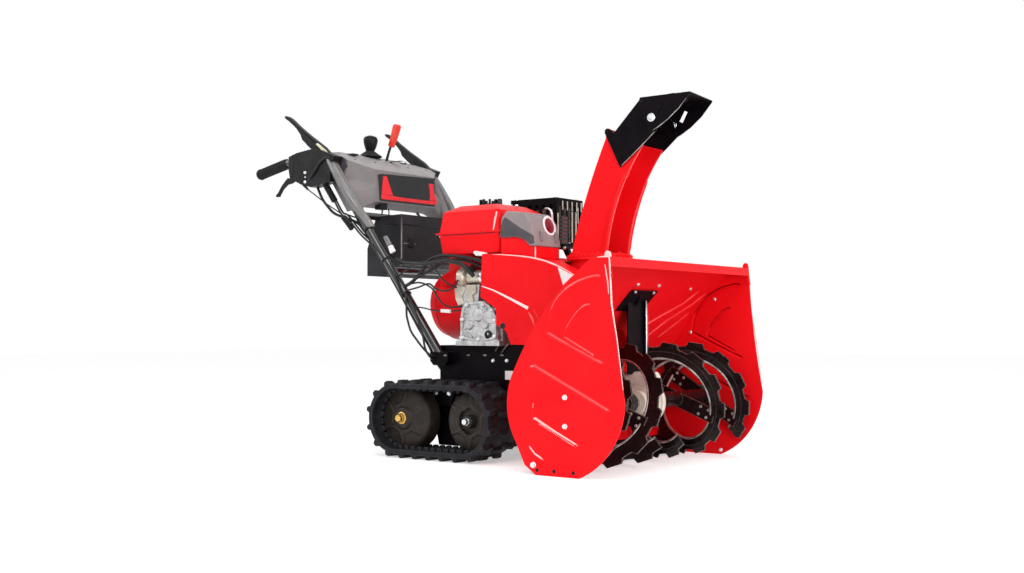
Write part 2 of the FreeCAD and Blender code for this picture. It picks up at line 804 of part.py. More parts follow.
blower_blank = new_body("BlowerBlank")
sheet_drum = cell("drum_sheet")
extrude(blower_blank, "DrumOuter", "YZ_Plane", front_x, front_x + 240,
        circles=[(0, blower_z, drum_outer)])
loft(blower_blank, "NeckOuter", neck_sections(
    as_size(58), 78 + sheet_drum, cell("neck_radius") + sheet_drum, blower_z + 125, neck_top - 6))
extrude(blower_blank, "NeckFlange", "XY_Plane", neck_top - 6, neck_top,
        circles=[(chute_x, 0, cell("ring_radius"))])
extrude(blower_blank, "DrumInner", "YZ_Plane", front_x + sheet_drum, front_x + 241, cut=True,
        circles=[(0, blower_z, cell("drum_radius"))])
loft(blower_blank, "NeckInner", neck_sections(
    as_size(54), as_size(78), cell("neck_radius"), blower_z + 125, neck_top), cut=True)
extrude(blower_blank, "ShaftHole", "YZ_Plane", front_x - 1, front_x + sheet_drum + 1, cut=True,
        circles=[(0, blower_z, cell("blower_shaft_radius") + 0.5)])
housing_space = shell_space("HousingSpace", 0, half_housing)
blower_drum = cut("blower_drum", blower_blank, housing_space)
keep(blower_drum)

# ---------------------------------------------------------------------------
# Auger gearbox and its stay
# ---------------------------------------------------------------------------

worm_x = auger_x - 58
gear_case = cylinder("GearCase", (auger_x, -24, auger_z), Y_AXIS, 66, 48)
gear_flange = cylinder("GearFlange", (auger_x, -6, auger_z), Y_AXIS, 73, 12)
gear_boss = cylinder("GearBoss", (auger_x, -40, auger_z), Y_AXIS, 34, 80)
worm_case = cylinder("WormCase", (worm_x, 0, blower_z), X_AXIS, 28, 106)
gear_solid = fuse("GearSolid", [gear_case, gear_flange, gear_boss, worm_case])
cross_bore = cylinder("CrossBore", (auger_x, -41, auger_z), Y_AXIS,
                      cell("auger_shaft_radius") + 0.3, 82)
worm_bore = cylinder("WormBore", (worm_x - 20, 0, blower_z), X_AXIS,
                     cell("blower_shaft_radius") + 0.3, 50)
gear_bores = fuse("GearBores", [cross_bore, worm_bore])
auger_gearbox = cut("auger_gearbox", gear_solid, gear_bores)
keep(auger_gearbox)

stay_x = auger_x - 24
stay_bar = box("StayBar", (stay_x - 3, -42, blower_z + 20), (stay_x + 3, 42, 500))
stay_inner = shell_space("StayInner", thick + 5, half_housing)
stay_space = shell_space("StaySpace", thick, half_housing)
stay_trimmed = common("StayTrimmed", stay_bar, stay_inner)
bracket_band = cut("BracketBand", stay_space, stay_inner)
bracket_cube = box("BracketCube", (480, -72, 452), (640, 72, 512))
bracket = common("BracketPlate", bracket_band, bracket_cube)
stay_joined = fuse("StayJoined", [stay_trimmed, bracket])
gearbox_stay = cut("gearbox_stay", stay_joined, gear_solid)
keep(gearbox_stay)

# ---------------------------------------------------------------------------
# Auger: serrated ribbons on arms round a tube, and the shaft
# ---------------------------------------------------------------------------


def ribbon_edge(step, steps_per_tooth):
    """How far the outer edge is cut back at this step of the saw-tooth edge."""
    phase = step % steps_per_tooth
    return cell("tooth_depth").value if phase in (0, 1) else 0.0


def ribbon(start_angle, hand):
    """One helical ribbon of the left auger as a closed faceted solid."""
    steps_per_tooth = 4
    step_share = (0.0, 0.34, 0.44, 0.9)
    teeth_count = int(round(cell("teeth_per_turn").value * cell("auger_turns").value))
    length = auger_outer_y.value - cell("auger_inner_y").value - cell("ribbon_thick").value
    sections = []
    for step in range(teeth_count * steps_per_tooth + 1):
        tooth, phase = divmod(step, steps_per_tooth)
        share = (tooth + step_share[phase]) / teeth_count
        angle = start_angle + hand * 2 * math.pi * cell("auger_turns").value * share
        middle_y = cell("auger_inner_y").value + cell("ribbon_thick").value / 2 + length * share
        outer = cell("auger_radius").value - ribbon_edge(step, steps_per_tooth)
        inner = cell("auger_radius").value - cell("ribbon_width").value
        half = cell("ribbon_thick").value / 2
        direction = Vector(math.cos(angle), 0, math.sin(angle))
        centre = Vector(auger_x.value, middle_y, auger_z.value)
        sections.append([centre + direction * radius + Vector(0, side, 0)
                         for radius, side in ((inner, -half), (outer, -half),
                                              (outer, half), (inner, half))])
    faces = []
    for near, far in zip(sections, sections[1:]):
        for corner in range(4):
            after = (corner + 1) % 4
            faces.append(Part.Face(Part.makePolygon(
                [near[corner], near[after], far[after], near[corner]])))
            faces.append(Part.Face(Part.makePolygon(
                [near[corner], far[after], far[corner], near[corner]])))
    for cap in (sections[0], sections[-1]):
        faces.append(Part.Face(Part.makePolygon(cap + cap[:1])))
    solid = Part.Solid(Part.Shell(faces))
    if solid.Volume < 0:
        solid.reverse()
    return solid


def ribbon_arm(start_angle, hand, share):
    """Flat arm from the tube to the ribbon at a share of its length."""
    angle = start_angle + hand * 2 * math.pi * cell("auger_turns").value * share
    length = auger_outer_y.value - cell("auger_inner_y").value - cell("ribbon_thick").value
    middle_y = cell("auger_inner_y").value + cell("ribbon_thick").value / 2 + length * share
    reach = cell("auger_radius").value - cell("ribbon_width").value + 14
    arm = Part.makeBox(reach - 10, 8, 44, Vector(10, -4, -22))
    arm.rotate(Vector(0, 0, 0), Y_AXIS, -math.degrees(angle))
    arm.translate(Vector(auger_x.value, middle_y, auger_z.value))
    return arm


def auger_half():
    """Left half of the auger: two ribbons, their arms and the tube."""
    length = auger_outer_y.value - cell("auger_inner_y").value
    base = Vector(auger_x.value, cell("auger_inner_y").value, auger_z.value)
    tube = Part.makeCylinder(cell("auger_tube_radius").value, length, base, Y_AXIS)
    bore = Part.makeCylinder(cell("auger_shaft_radius").value, length, base, Y_AXIS)
    solid = tube
    hand = -1
    first_start = (math.radians(cell("auger_end_angle").value)
                   - hand * 2 * math.pi * cell("auger_turns").value)
    for start_angle in (first_start, first_start + math.pi):
        solid = solid.fuse(ribbon(start_angle, hand))
        for share in (0.42, 0.95):
            solid = solid.fuse(ribbon_arm(start_angle, hand, share))
    return solid.cut(bore).Solids[0]


auger_left = feature("auger_left", auger_half())
auger_right = mirrored("auger_right", auger_left)
auger_shaft = cylinder("auger_shaft", (auger_x, 2 - inner_housing, auger_z), Y_AXIS,
                       cell("auger_shaft_radius"), 2 * inner_housing - 4)
keep(auger_left, auger_right, auger_shaft)

# ---------------------------------------------------------------------------
# Impeller and its shaft
# ---------------------------------------------------------------------------

impeller = new_body("impeller")
tip_r = cell("impeller_radius")
rear_face = cell("impeller_rear_x")
front_face = cell("impeller_front_x")
extrude(impeller, "Hub", "YZ_Plane", rear_face, front_face,
        circles=[(0, 0, 26), (0, 0, cell("blower_shaft_radius"))])
blade = extrude(impeller, "Blade", "YZ_Plane", rear_face, front_face, [[
    (-4, 20), (4, 20), (4, tip_r * 0.72), (24, tip_r - 5), (17, tip_r - 2), (-4, tip_r * 0.76)]])
polar(impeller, "Blades", [blade], "X_Axis", cell("impeller_blades"))
extrude(impeller, "Web", "YZ_Plane", rear_face, rear_face + 5,
        circles=[(0, 0, tip_r - 45), (0, 0, cell("blower_shaft_radius"))])
bind(impeller, Placement__Base__z=blower_z)
impeller_shaft = cylinder("impeller_shaft", (front_x - 50, 0, blower_z), X_AXIS,
                          cell("blower_shaft_radius"), worm_x + 28 - front_x + 50)
keep(impeller, impeller_shaft)

# ---------------------------------------------------------------------------
# Discharge chute and its two guides, drawn about the chute's own axis
# ---------------------------------------------------------------------------

half_chute = cell("chute_width") / 2
chute_sheet = cell("chute_sheet")
chute_base_z = neck_top + 12
rear_edge = [(-60, chute_base_z), (-8, 800, "through"), (67, 964)]
front_edge = [(60, chute_base_z), (96, 784, "through"), (178, 938)]
hinge_u = cell("guide_hinge_u")
hinge_z = cell("guide_hinge_z")
tip_u = cell("guide_tip_u")
tip_z = cell("guide_tip_z")


def shifted(points, along_u, up=0):
    return [(p[0] + along_u, p[1] + up) + tuple(p[2:]) for p in points]


def turn_with_chute(thing):
    """Stand a chute-frame piece on the chute axis at its parked angle."""
    thing.Placement = Placement(Vector(chute_x.value, 0, 0),
                                Rotation(Z_AXIS, cell("chute_rest_angle").value))
    bind(thing, Placement__Base__x=chute_x)


chute = new_body("chute")
ear = [(hinge_u - 9, hinge_z + 4), (hinge_u, hinge_z + 10, "through"), (hinge_u + 9, hinge_z + 4),
       (hinge_u + 20, 966)]
extrude(chute, "Channel", "XZ_Plane", -half_chute, half_chute,
        [rear_edge[:2] + [(56, 966)] + ear + list(reversed(front_edge))])
extrude(chute, "Hollow", "XZ_Plane", chute_sheet - half_chute, half_chute - chute_sheet, [
    shifted(rear_edge[:2], 3) + [(62, 966), (62, 1100), (300, 1100), (300, chute_base_z - 1),
                                 (-57, chute_base_z - 1)]], cut=True)
flange_end = [(60, chute_base_z), (82, 740, "through"), (122, 850)]
for name, low, high in (("FlangeLeft", half_chute - 1, half_chute + cell("chute_flange")),
                        ("FlangeRight", -half_chute - cell("chute_flange"), 1 - half_chute)):
    extrude(chute, name, "XZ_Plane", low, high,
            [shifted(flange_end, -3) + list(reversed(flange_end))])
extrude(chute, "HingeHoles", "XZ_Plane", -half_chute - 1, half_chute + 1, cut=True,
        circles=[(hinge_u, hinge_z, cell("guide_pin_radius") + 0.3)])
turn_with_chute(chute)

chute_ring = new_body("chute_ring")
ring_r = cell("ring_radius")
extrude(chute_ring, "Plate", "XY_Plane", neck_top + 1, chute_base_z,
        circles=[(0, 0, ring_r - 6), (0, 0, cell("neck_radius") - 2)])
ring_tooth = extrude(chute_ring, "RingTooth", "XY_Plane", neck_top + 1, chute_base_z - 3, [[
    (ring_r - 9, -4), (ring_r - 9, 4), (ring_r, 2), (ring_r, -2)]])
polar(chute_ring, "RingTeeth", [ring_tooth], "Z_Axis", 36)
turn_with_chute(chute_ring)
keep(chute, chute_ring)

guide_inner = half_chute + cell("guide_gap")
guide_outer = guide_inner + cell("guide_sheet")
lower_guide = new_body("lower_guide")
extrude(lower_guide, "Sides", "XZ_Plane", -guide_outer, guide_outer, [[
    (hinge_u - 8, hinge_z - 4), (106, 874), (181, 937), (224, 976), (tip_u + 16, tip_z - 6),
    (tip_u + 8, tip_z + 8), (tip_u - 6, tip_z + 8), (hinge_u + 22, hinge_z - 6),
    (hinge_u + 8, hinge_z + 4), (hinge_u, hinge_z + 9, "through"), (hinge_u - 8, hinge_z + 2)]])
extrude(lower_guide, "Inside", "XZ_Plane", -guide_inner, guide_inner, [[
    (hinge_u - 40, hinge_z - 120), (hinge_u - 40, hinge_z + 40), (hinge_u + 40, hinge_z + 40),
    (hinge_u + 40, hinge_z + 6), (tip_u - 9, tip_z), (tip_u - 9, tip_z + 40), (400, tip_z + 40), (400, 850)]],
        cut=True)
extrude(lower_guide, "HingePin", "XZ_Plane", -guide_outer, guide_outer,
        circles=[(hinge_u, hinge_z, cell("guide_pin_radius"))])
extrude(lower_guide, "TipHoles", "XZ_Plane", -guide_outer - 1, guide_outer + 1, cut=True,
        circles=[(tip_u, tip_z, cell("guide_pin_radius") + 0.3)])
turn_with_chute(lower_guide)

upper_inner = guide_outer + cell("guide_gap")
upper_outer = upper_inner + cell("guide_sheet")
upper_guide = new_body("upper_guide")
extrude(upper_guide, "Sides", "XZ_Plane", -upper_outer, upper_outer, [[
    (tip_u - 8, tip_z - 4), (206, 968), (262, 1001), (297, 1031), (331, 1072), (331, tip_z + 13),
    (tip_u - 4, tip_z + 10)]])
extrude(upper_guide, "Inside", "XZ_Plane", -upper_inner, upper_inner, [[
    (tip_u - 40, 940), (tip_u - 40, tip_z + 40), (tip_u + 12, tip_z + 40), (tip_u + 12, tip_z + 8),
    (332, tip_z + 10), (332, 940)]], cut=True)
extrude(upper_guide, "SightSlots", "XZ_Plane", -upper_outer - 1, upper_outer + 1, cut=True,
        outlines=[[(226, 1023), (237, 1018), (253, 1049), (243, 1054)]])
extrude(upper_guide, "HingePin", "XZ_Plane", -upper_outer, upper_outer,
        circles=[(tip_u, tip_z, cell("guide_pin_radius"))])
turn_with_chute(upper_guide)
keep(lower_guide, upper_guide)

# ---------------------------------------------------------------------------
# Engine
# ---------------------------------------------------------------------------

axis_y = cell("engine_axis_y")
axis_z = cell("engine_axis_z")
engine_block = new_body("engine_block")
extrude(engine_block, "Crankcase", "XZ_Plane", -150, 130, [[
    (44, deck_z), (44, 452), (66, 480), (150, 482), (178, 462), (196, 430), (200, 390), (200, deck_z)]])
cover_outline = [(50, 362), (52, 436), (58, 466), (72, 482), (142, 484), (168, 470), (185, 451),
                 (193, 420), (196, 362)]
extrude(engine_block, "SideCover", "XZ_Plane", -170, -150, [cover_outline])
round_edges(engine_block, "CoverRounds", 6,
            lambda e: abs(e.BoundBox.YMax + 170) < 0.1 and e.BoundBox.ZMax > 363)
extrude(engine_block, "BaseFlange", "XZ_Plane", -174, 132, [[
    (32, deck_z), (32, 362), (204, 362), (204, deck_z)]])
extrude(engine_block, "StarterMount", "XZ_Plane", -162, -112, [[
    (46, 470), (32, 522), (34, 574), (58, 574), (66, 536), (118, 536), (112, 478)]])

fan_shroud = new_body("fan_shroud")
shroud_rear = -88
extrude(fan_shroud, "Bell", "YZ_Plane", shroud_rear, 30, circles=[(axis_y, axis_z, cell("fan_radius"))])
extrude(fan_shroud, "Riser", "YZ_Plane", -60, 30, [[
    (axis_y - 95, axis_z + 60), (axis_y - 80, cell("tank_bottom_z")),
    (axis_y + 80, cell("tank_bottom_z")), (axis_y + 95, axis_z + 60)]])

recoil_starter = new_body("recoil_starter")
recoil_r = cell("fan_radius") - 12
recoil_end = shroud_rear - cell("recoil_depth")
revolve(recoil_starter, "Cover", [
    (shroud_rear, 0), (shroud_rear, recoil_r - 8), (shroud_rear - 8, recoil_r - 8),
    (shroud_rear - 8, recoil_r + 6), (recoil_end + 24, recoil_r), (recoil_end + 6, recoil_r - 18),
    (recoil_end + 6, 34), (recoil_end, 28), (recoil_end, 0)],
        plane="XZ_Plane", axis="H_Axis")
bind(recoil_starter, Placement__Base__y=axis_y, Placement__Base__z=axis_z)

starter_r = cell("starter_radius")
flange_r = cell("starter_flange_radius")
starter_blank = new_body("StarterBlank")
revolve(starter_blank, "Motor", [
    (34, 0), (34, flange_r - 9), (40, flange_r), (62, flange_r), (66, flange_r - 5), (70, starter_r),
    (148, starter_r), (152, starter_r - 4), (152, 8), (162, 8), (162, 0)], plane="XZ_Plane", axis="H_Axis")
bind(starter_blank, Placement__Base__y=cell("starter_y"), Placement__Base__z=cell("starter_z"))
starter_motor = cut("starter_motor", starter_blank, engine_block)

cylinder_head = new_body("cylinder_head")
extrude(cylinder_head, "Barrel", "YZ_Plane", 62, 178, [[(-20, 488), (20, 600), (150, 600), (118, 488)]])
fin = extrude(cylinder_head, "Fin", "XY_Plane", 500, 505, [[(50, -30), (50, 156), (190, 156), (190, -30)]])
linear(cylinder_head, "Fins", [fin], "Z_Axis", 96, 9)
keep(engine_block, fan_shroud, recoil_starter, starter_motor, cylinder_head)

fuel_tank = new_body("fuel_tank")
tank_low = cell("tank_bottom_z")
seam_z = cell("tank_seam_z")
tank_rear = cell("tank_rear_x")
tank_front = cell("tank_front_x")
tank_right = cell("tank_right_y")
tank_left = cell("tank_left_y")


def tank_outline(inset):
    return [(tank_rear + inset, tank_right + inset), (tank_front - inset, tank_right + inset),
            (tank_front - inset, tank_left - inset), (tank_rear + inset, tank_left - inset)]


loft(fuel_tank, "LowerHalf", [("XY_Plane", tank_low, tank_outline(12)),
                              ("XY_Plane", seam_z - 3, tank_outline(4))])
shoulder_z = cell("tank_shoulder_z")
loft(fuel_tank, "UpperHalf", [("XY_Plane", seam_z - 3, tank_outline(4)),
                              ("XY_Plane", shoulder_z, tank_outline(13))])
loft(fuel_tank, "Crown", [("XY_Plane", shoulder_z, tank_outline(13)),
                          ("XY_Plane", cell("tank_top_z"), tank_outline(54))])
round_edges(fuel_tank, "TankRounds", 16, lambda e: e.BoundBox.ZLength > 20 or (
    abs(e.BoundBox.ZMin - shoulder_z.value) < 0.1 and e.BoundBox.ZLength < 0.1))
extrude(fuel_tank, "Seam", "XY_Plane", seam_z - 5, seam_z, [tank_outline(0)])
fuel_cap = cylinder("fuel_cap", (70, -50, cell("tank_top_z")), Z_AXIS, 30, 24)
keep(fuel_tank, fuel_cap)

air_cleaner_cover = new_body("air_cleaner_cover")
extrude(air_cleaner_cover, "Cover", "XZ_Plane", -182, -46, [[
    (tank_front, 676), (tank_front + 6, 738), (236, 757), (302, 749), (329, 718), (346, 646),
    (326, 646), (300, 668), (270, 676)]])
round_edges(air_cleaner_cover, "CoverTopRounds", 7, lambda e: e.BoundBox.ZMin > 737)
base_blank = new_body("AirBaseBlank")
extrude(base_blank, "Base", "XZ_Plane", -176, -50, [[
    (tank_front, 596), (tank_front, 676), (270, 676), (300, 668), (326, 646), (342, 646), (342, 596)]])
cover_top = [(158, 627), (400, 594, "through"), (592, 500)]
cover_space = new_body("CoverSpace")
extrude(cover_space, "UnderCover", "XZ_Plane", -300, 300, [cover_top + [(592, 400), (158, 400)]])
air_cleaner_base = cut("air_cleaner_base", base_blank, cover_space)
keep(air_cleaner_cover, air_cleaner_base)

muffler_pipe_z = 560
muffler_can = box("MufflerCan", (62, 118, 682), (205, 234, 800))
muffler_can_round = doc.addObject("Part::Fillet", "MufflerRound")
doc.recompute()
muffler_can_round.Base = muffler_can
muffler_can_round.Edges = [(i, 24, 24) for i, e in enumerate(muffler_can.Shape.Edges, start=1)
                           if along(e, X_AXIS)]
pipe_out = cylinder("PipeOut", (130, 156, muffler_pipe_z), Y_AXIS, 15, 20)
pipe_up = cylinder("PipeUp", (130, 176, muffler_pipe_z - 22), Z_AXIS, 17, 150)
post_one = cylinder("PostOne", (90, 176, 790), Z_AXIS, 8, 29)
post_two = cylinder("PostTwo", (176, 176, 790), Z_AXIS, 8, 29)
muffler = fuse("muffler", [muffler_can_round, pipe_out, pipe_up, post_one, post_two])

muffler_guard = new_body("muffler_guard")
extrude(muffler_guard, "Hood", "XY_Plane", 664, 822, [[(41, 100), (226, 100), (226, 250), (41, 250)]])
extrude(muffler_guard, "HoodInside", "XY_Plane", 663, 819, [[(44, 103), (223, 103), (223, 247), (44, 247)]],
        cut=True)
slot = extrude(muffler_guard, "Slot", "XZ_Plane", 99, 251, [[
    (56, 678), (56, 800), (70, 800), (70, 678)]], cut=True)
linear(muffler_guard, "Slots", [slot], "X_Axis", 140, 6)
slot_front = extrude(muffler_guard, "SlotFront", "YZ_Plane", 40, 227, [[
    (114, 678), (114, 800), (128, 800), (128, 678)]], cut=True)
linear(muffler_guard, "SlotsFront", [slot_front], "Y_Axis", 108, 5)
keep(muffler, muffler_guard)

# Belt cover between the engine and the housing
cover_y = cell("cover_half_width")
cover_sheet = cell("cover_sheet")
cover_blank = new_body("CoverBlank")
extrude(cover_blank, "Cover", "XZ_Plane", -cover_y, cover_y, [
    cover_top + [(520, 350), (268, 352), (250, 392), (212, 412), (212, 460), (152, 496)]])
extrude(cover_blank, "CoverInside", "XZ_Plane", cover_sheet - cover_y, cover_y - cover_sheet, [
    [(100, 623), (158, 623), (400, 590, "through"), (592, 495), (700, 495), (700, 300), (100, 300)]],
        cut=True)
extrude(cover_blank, "NeckOpening", "XY_Plane", 500, 700,
        circles=[(chute_x, 0, ring_r + 8)], cut=True)
belt_cover = cut("belt_cover", cover_blank, housing_space)
keep(belt_cover)

# ---------------------------------------------------------------------------
# Handlebars, grips, levers, battery box
# ---------------------------------------------------------------------------

grip_y = cell("handle_half_width").value
foot_y = cell("handle_foot_half_width").value
tube_radius = cell("handle_tube_radius")
handle_foot = Vector(-31, foot_y, 305)
handle_bend = Vector(-463, grip_y + 2, 980)
grip_start = Vector(-650, grip_y, 963)
grip_axis = Vector(-140, 0, -29)


def tube_point(z):
    """A point of the left tube's straight run at a height."""
    share = (z - handle_foot.z) / (handle_bend.z - handle_foot.z)
    return handle_foot + (handle_bend - handle_foot) * share


handle_points = [handle_foot, handle_bend, grip_start]
handle_blank = swept_tube("HandleTube", handle_points, cell("handle_bend_radius").value, tube_radius)
handle_cropped = cut("HandleCropped", handle_blank, main_frame)
low_point = tube_point(cell("cross_low_z").value)
high_point = tube_point(cell("cross_high_z").value)
cross_low = cylinder("CrossLow", (low_point.x, 0, cell("cross_low_z")), Y_AXIS, tube_radius - 2, low_point.y)
cross_high = cylinder("CrossHigh", (high_point.x, 0, cell("cross_high_z")), Y_AXIS, tube_radius - 2,
                      high_point.y)
handle_left = fuse("HandleLeft", [handle_cropped, cross_low, cross_high])
handlebars = fuse("handlebars", [handle_left, mirrored("HandleRight", handle_left)])
keep(handlebars)

grip_blank = cylinder("GripBlank", (grip_start.x, grip_start.y, grip_start.z), grip_axis,
                      cell("grip_radius"), cell("grip_length"))
grip_left = cut("GripLeft", grip_blank, handle_blank)
keep(pair("handle_grips", grip_left))

handle_y = cell("handle_half_width")
bracket_blank = new_body("LeverBracketBlank")
extrude(bracket_blank, "Block", "XZ_Plane", handle_y - 20, handle_y + 20, [[
    (-626, 982), (-588, 992), (-523, 999), (-481, 996), (-408, 968), (-428, 936), (-428, 885),
    (-517, 871), (-565, 883), (-620, 908), (-626, 937)]])
lever_bracket = cut("LeverBracket", bracket_blank, handle_blank)
lever_brackets = pair("lever_brackets", lever_bracket)
keep(lever_brackets)

paddle = new_body("PaddleLeft")
extrude(paddle, "Blade", "XZ_Plane", handle_y - 16, handle_y + 16, [[
    (-438, 970), (-446, 998), (-491, 1024), (-588, 1089), (-630, 1119), (-649, 1126), (-663, 1121),
    (-610, 1082), (-577, 1058), (-572, 1040), (-539, 1011), (-501, 980)]])
paddle_seated = cut("PaddleSeated", paddle, bracket_blank)
keep(pair("clutch_paddles", paddle_seated))

trigger = new_body("TriggerLeft")
extrude(trigger, "Finger", "XZ_Plane", handle_y - 6, handle_y + 6, [[
    (-610, 912), (-652, 920), (-669, 909), (-685, 895), (-699, 877), (-712, 864), (-722, 858),
    (-718, 850), (-700, 851), (-690, 868), (-677, 886), (-641, 907), (-610, 898)]])
trigger_seated = cut("TriggerSeated", trigger, bracket_blank)
keep(pair("steering_triggers", trigger_seated))

battery_y = cell("battery_half_width")
battery_blank = new_body("BatteryBlank")
extrude(battery_blank, "Case", "XZ_Plane", -battery_y, battery_y, [[
    (-225, 617), (-225, 775), (-339, 772), (-379, 666), (-379, 575), (-300, 570)]])
battery_box = cut("battery_box", battery_blank, handlebars)
keep(battery_box)

# ---------------------------------------------------------------------------
# Console with its stick and lever
# ---------------------------------------------------------------------------

console_y = cell("console_half_width")
console_x = cell("console_front_x")
wing_y = cell("console_wing_half_width")
console_profile = [(console_x, 822), (console_x, 872), (console_x, 880), (console_x - 2, 930), (-380, 956),
                   (-505, 1002), (-560, 996), (-566, 940), (-470, 862), (-392, 806)]
wing_profile = [(-360, 790), (-364, 850), (-408, 898), (-392, 957), (-420, 972), (-480, 990), (-500, 984),
                (-505, 940), (-440, 850), (-395, 786)]
console_body = new_body("ConsoleBody")
extrude(console_body, "Middle", "XZ_Plane", -console_y, console_y, [console_profile])
loft(console_body, "LeftWing", [("XZ_Plane", -console_y, console_profile),
                                ("XZ_Plane", -wing_y, wing_profile)])
loft(console_body, "RightWing", [("XZ_Plane", console_y, console_profile),
                                 ("XZ_Plane", wing_y, wing_profile)])
sleeve_foot = tube_point(786)
sleeve_head = tube_point(946)
sleeve = cylinder("SleeveLeft", (sleeve_foot.x, sleeve_foot.y, sleeve_foot.z), sleeve_head - sleeve_foot,
                  cell("sleeve_radius"), (sleeve_head - sleeve_foot).Length)
console_blank = fuse("ConsoleBlank", [console_body, sleeve, mirrored("SleeveRight", sleeve)])
console_seated = cut("ConsoleSeated", console_blank, handlebars)
console = cut("console", console_seated, lever_brackets)
keep(console)

plate_blank = new_body("PlateBlank")
extrude(plate_blank, "Plate", "YZ_Plane", console_x - 6, console_x + 3, [[
    (-132, 827), (-139, 913), (-120, 917), (147, 926), (149, 828)]])
console_plate = cut("console_plate", plate_blank, console_blank)
keep(console_plate)

joystick_blank = new_body("JoystickBlank")
revolve(joystick_blank, "Stick", [
    (0, 990), (26, 990), (20, 1010), (8, 1022), (7, 1044), (16, 1052), (17, 1066), (8, 1076), (0, 1077)],
        plane="XZ_Plane")
bind(joystick_blank, Placement__Base__x=-504)
chute_joystick = cut("chute_joystick", joystick_blank, console_blank)

lever_blank = new_body("SpeedLeverBlank")
extrude(lever_blank, "Rod", "XZ_Plane", 46, 54, [[
    (-428, 960), (-432, 1050), (-420, 1112), (-404, 1112), (-414, 1050), (-412, 960)]])
speed_lever = cut("speed_lever", lever_blank, console_blank)
keep(chute_joystick, speed_lever)

# ---------------------------------------------------------------------------
# Control cables along the handlebars and the wiring loom to the starter
# ---------------------------------------------------------------------------

frame_side = half_frame.value


def beside_tube(z, inward, back):
    """A point beside the left tube, towards the middle plane and behind it."""
    return tube_point(z) + Vector(-back, -inward, 0)


def side_cable(label, side):
    """Cable from a lever bracket down beside the handle tube to the machine frame."""
    path = [Vector(-520, grip_y - 10, 880), Vector(-500, grip_y - 18, 830), Vector(-450, grip_y - 20, 782),
            beside_tube(745, 4, 27), beside_tube(640, 6, 27), beside_tube(500, 4, 27),
            beside_tube(400, 0, 28), Vector(-86, frame_side + 8, 338), Vector(-78, frame_side - 12, 292),
            Vector(-44, frame_side - 14, 256)]
    cable = swept_tube(label + "Tube", [Vector(v.x, side * v.y, v.z) for v in path],
                       cell("cable_bend").value, cell("cable_radius"))
    clear = cut(label + "Clear", cable, main_frame)
    free = cut(label + "Free", clear, handlebars)
    return cut(label, free, lever_brackets)


cable_left = side_cable("CableLeft", 1)
cable_right = side_cable("CableRight", -1)
loom_y = -tank_right.value + 22
loom_points = [Vector(-412, -190, 830), Vector(-372, -176, 735), Vector(-270, -172, 652),
               Vector(-170, -loom_y + 8, 612), Vector(-70, -loom_y, 604), Vector(20, 4 - loom_y, 612),
               Vector(84, 6 - loom_y, 598), Vector(110, 24 - loom_y, 560)]
loom_tube = swept_tube("LoomTube", loom_points, cell("cable_bend").value, cell("loom_radius"))
loom_clear = cut("LoomClear", loom_tube, console_blank)
wiring_loom = cut("WiringLoom", loom_clear, starter_motor)
control_cables = doc.addObject("Part::Compound", "control_cables")
control_cables.Label = "control_cables"
control_cables.Links = [cable_left, cable_right, wiring_loom]
keep(control_cables)

# ---------------------------------------------------------------------------
# Check every object, then write each sub-part
# ---------------------------------------------------------------------------

doc.recompute()
failed = [f"{thing.Name}: {thing.State}" for thing in doc.Objects
          if "Invalid" in thing.State or "Error" in thing.State]
for part in parts:
    if part.Shape.isNull() or not part.Shape.isValid():
        failed.append(f"{part.Label}: bad shape")
if failed:
    raise RuntimeError("; ".join(failed))

os.makedirs("parts", exist_ok=True)
for part in parts:
    part.Shape.exportStep(os.path.join("parts", part.Label + ".step"))
    box_of = part.Shape.BoundBox
    print(f"{part.Label:20s} solids {len(part.Shape.Solids)} volume {part.Shape.Volume / 1000:9.1f} cm3 "
          f"x {box_of.XMin:7.1f} {box_of.XMax:7.1f} y {box_of.YMin:7.1f} {box_of.YMax:7.1f} "
          f"z {box_of.ZMin:7.1f} {box_of.ZMax:7.1f}")
print(len(parts), "sub-parts")
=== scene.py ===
# %% [markdown]
# # A snow blower on rubber tracks
# The machine was measured and modelled in CAD first, and that model is a fixed frame here.
# This lesson dresses the frame: it gives every part its finish, rounds the edges that light
# catches, and adds what CAD leaves out, such as pressed ribs, bolts, cables and track detail.
# Nothing in the frame is moved, so the dressed machine keeps its true size.

# %% Load the frame
import json
import math

import bmesh
import bpy
from mathutils import Matrix, Vector
from mathutils.bvhtree import BVHTree
from mathutils.geometry import delaunay_2d_cdt

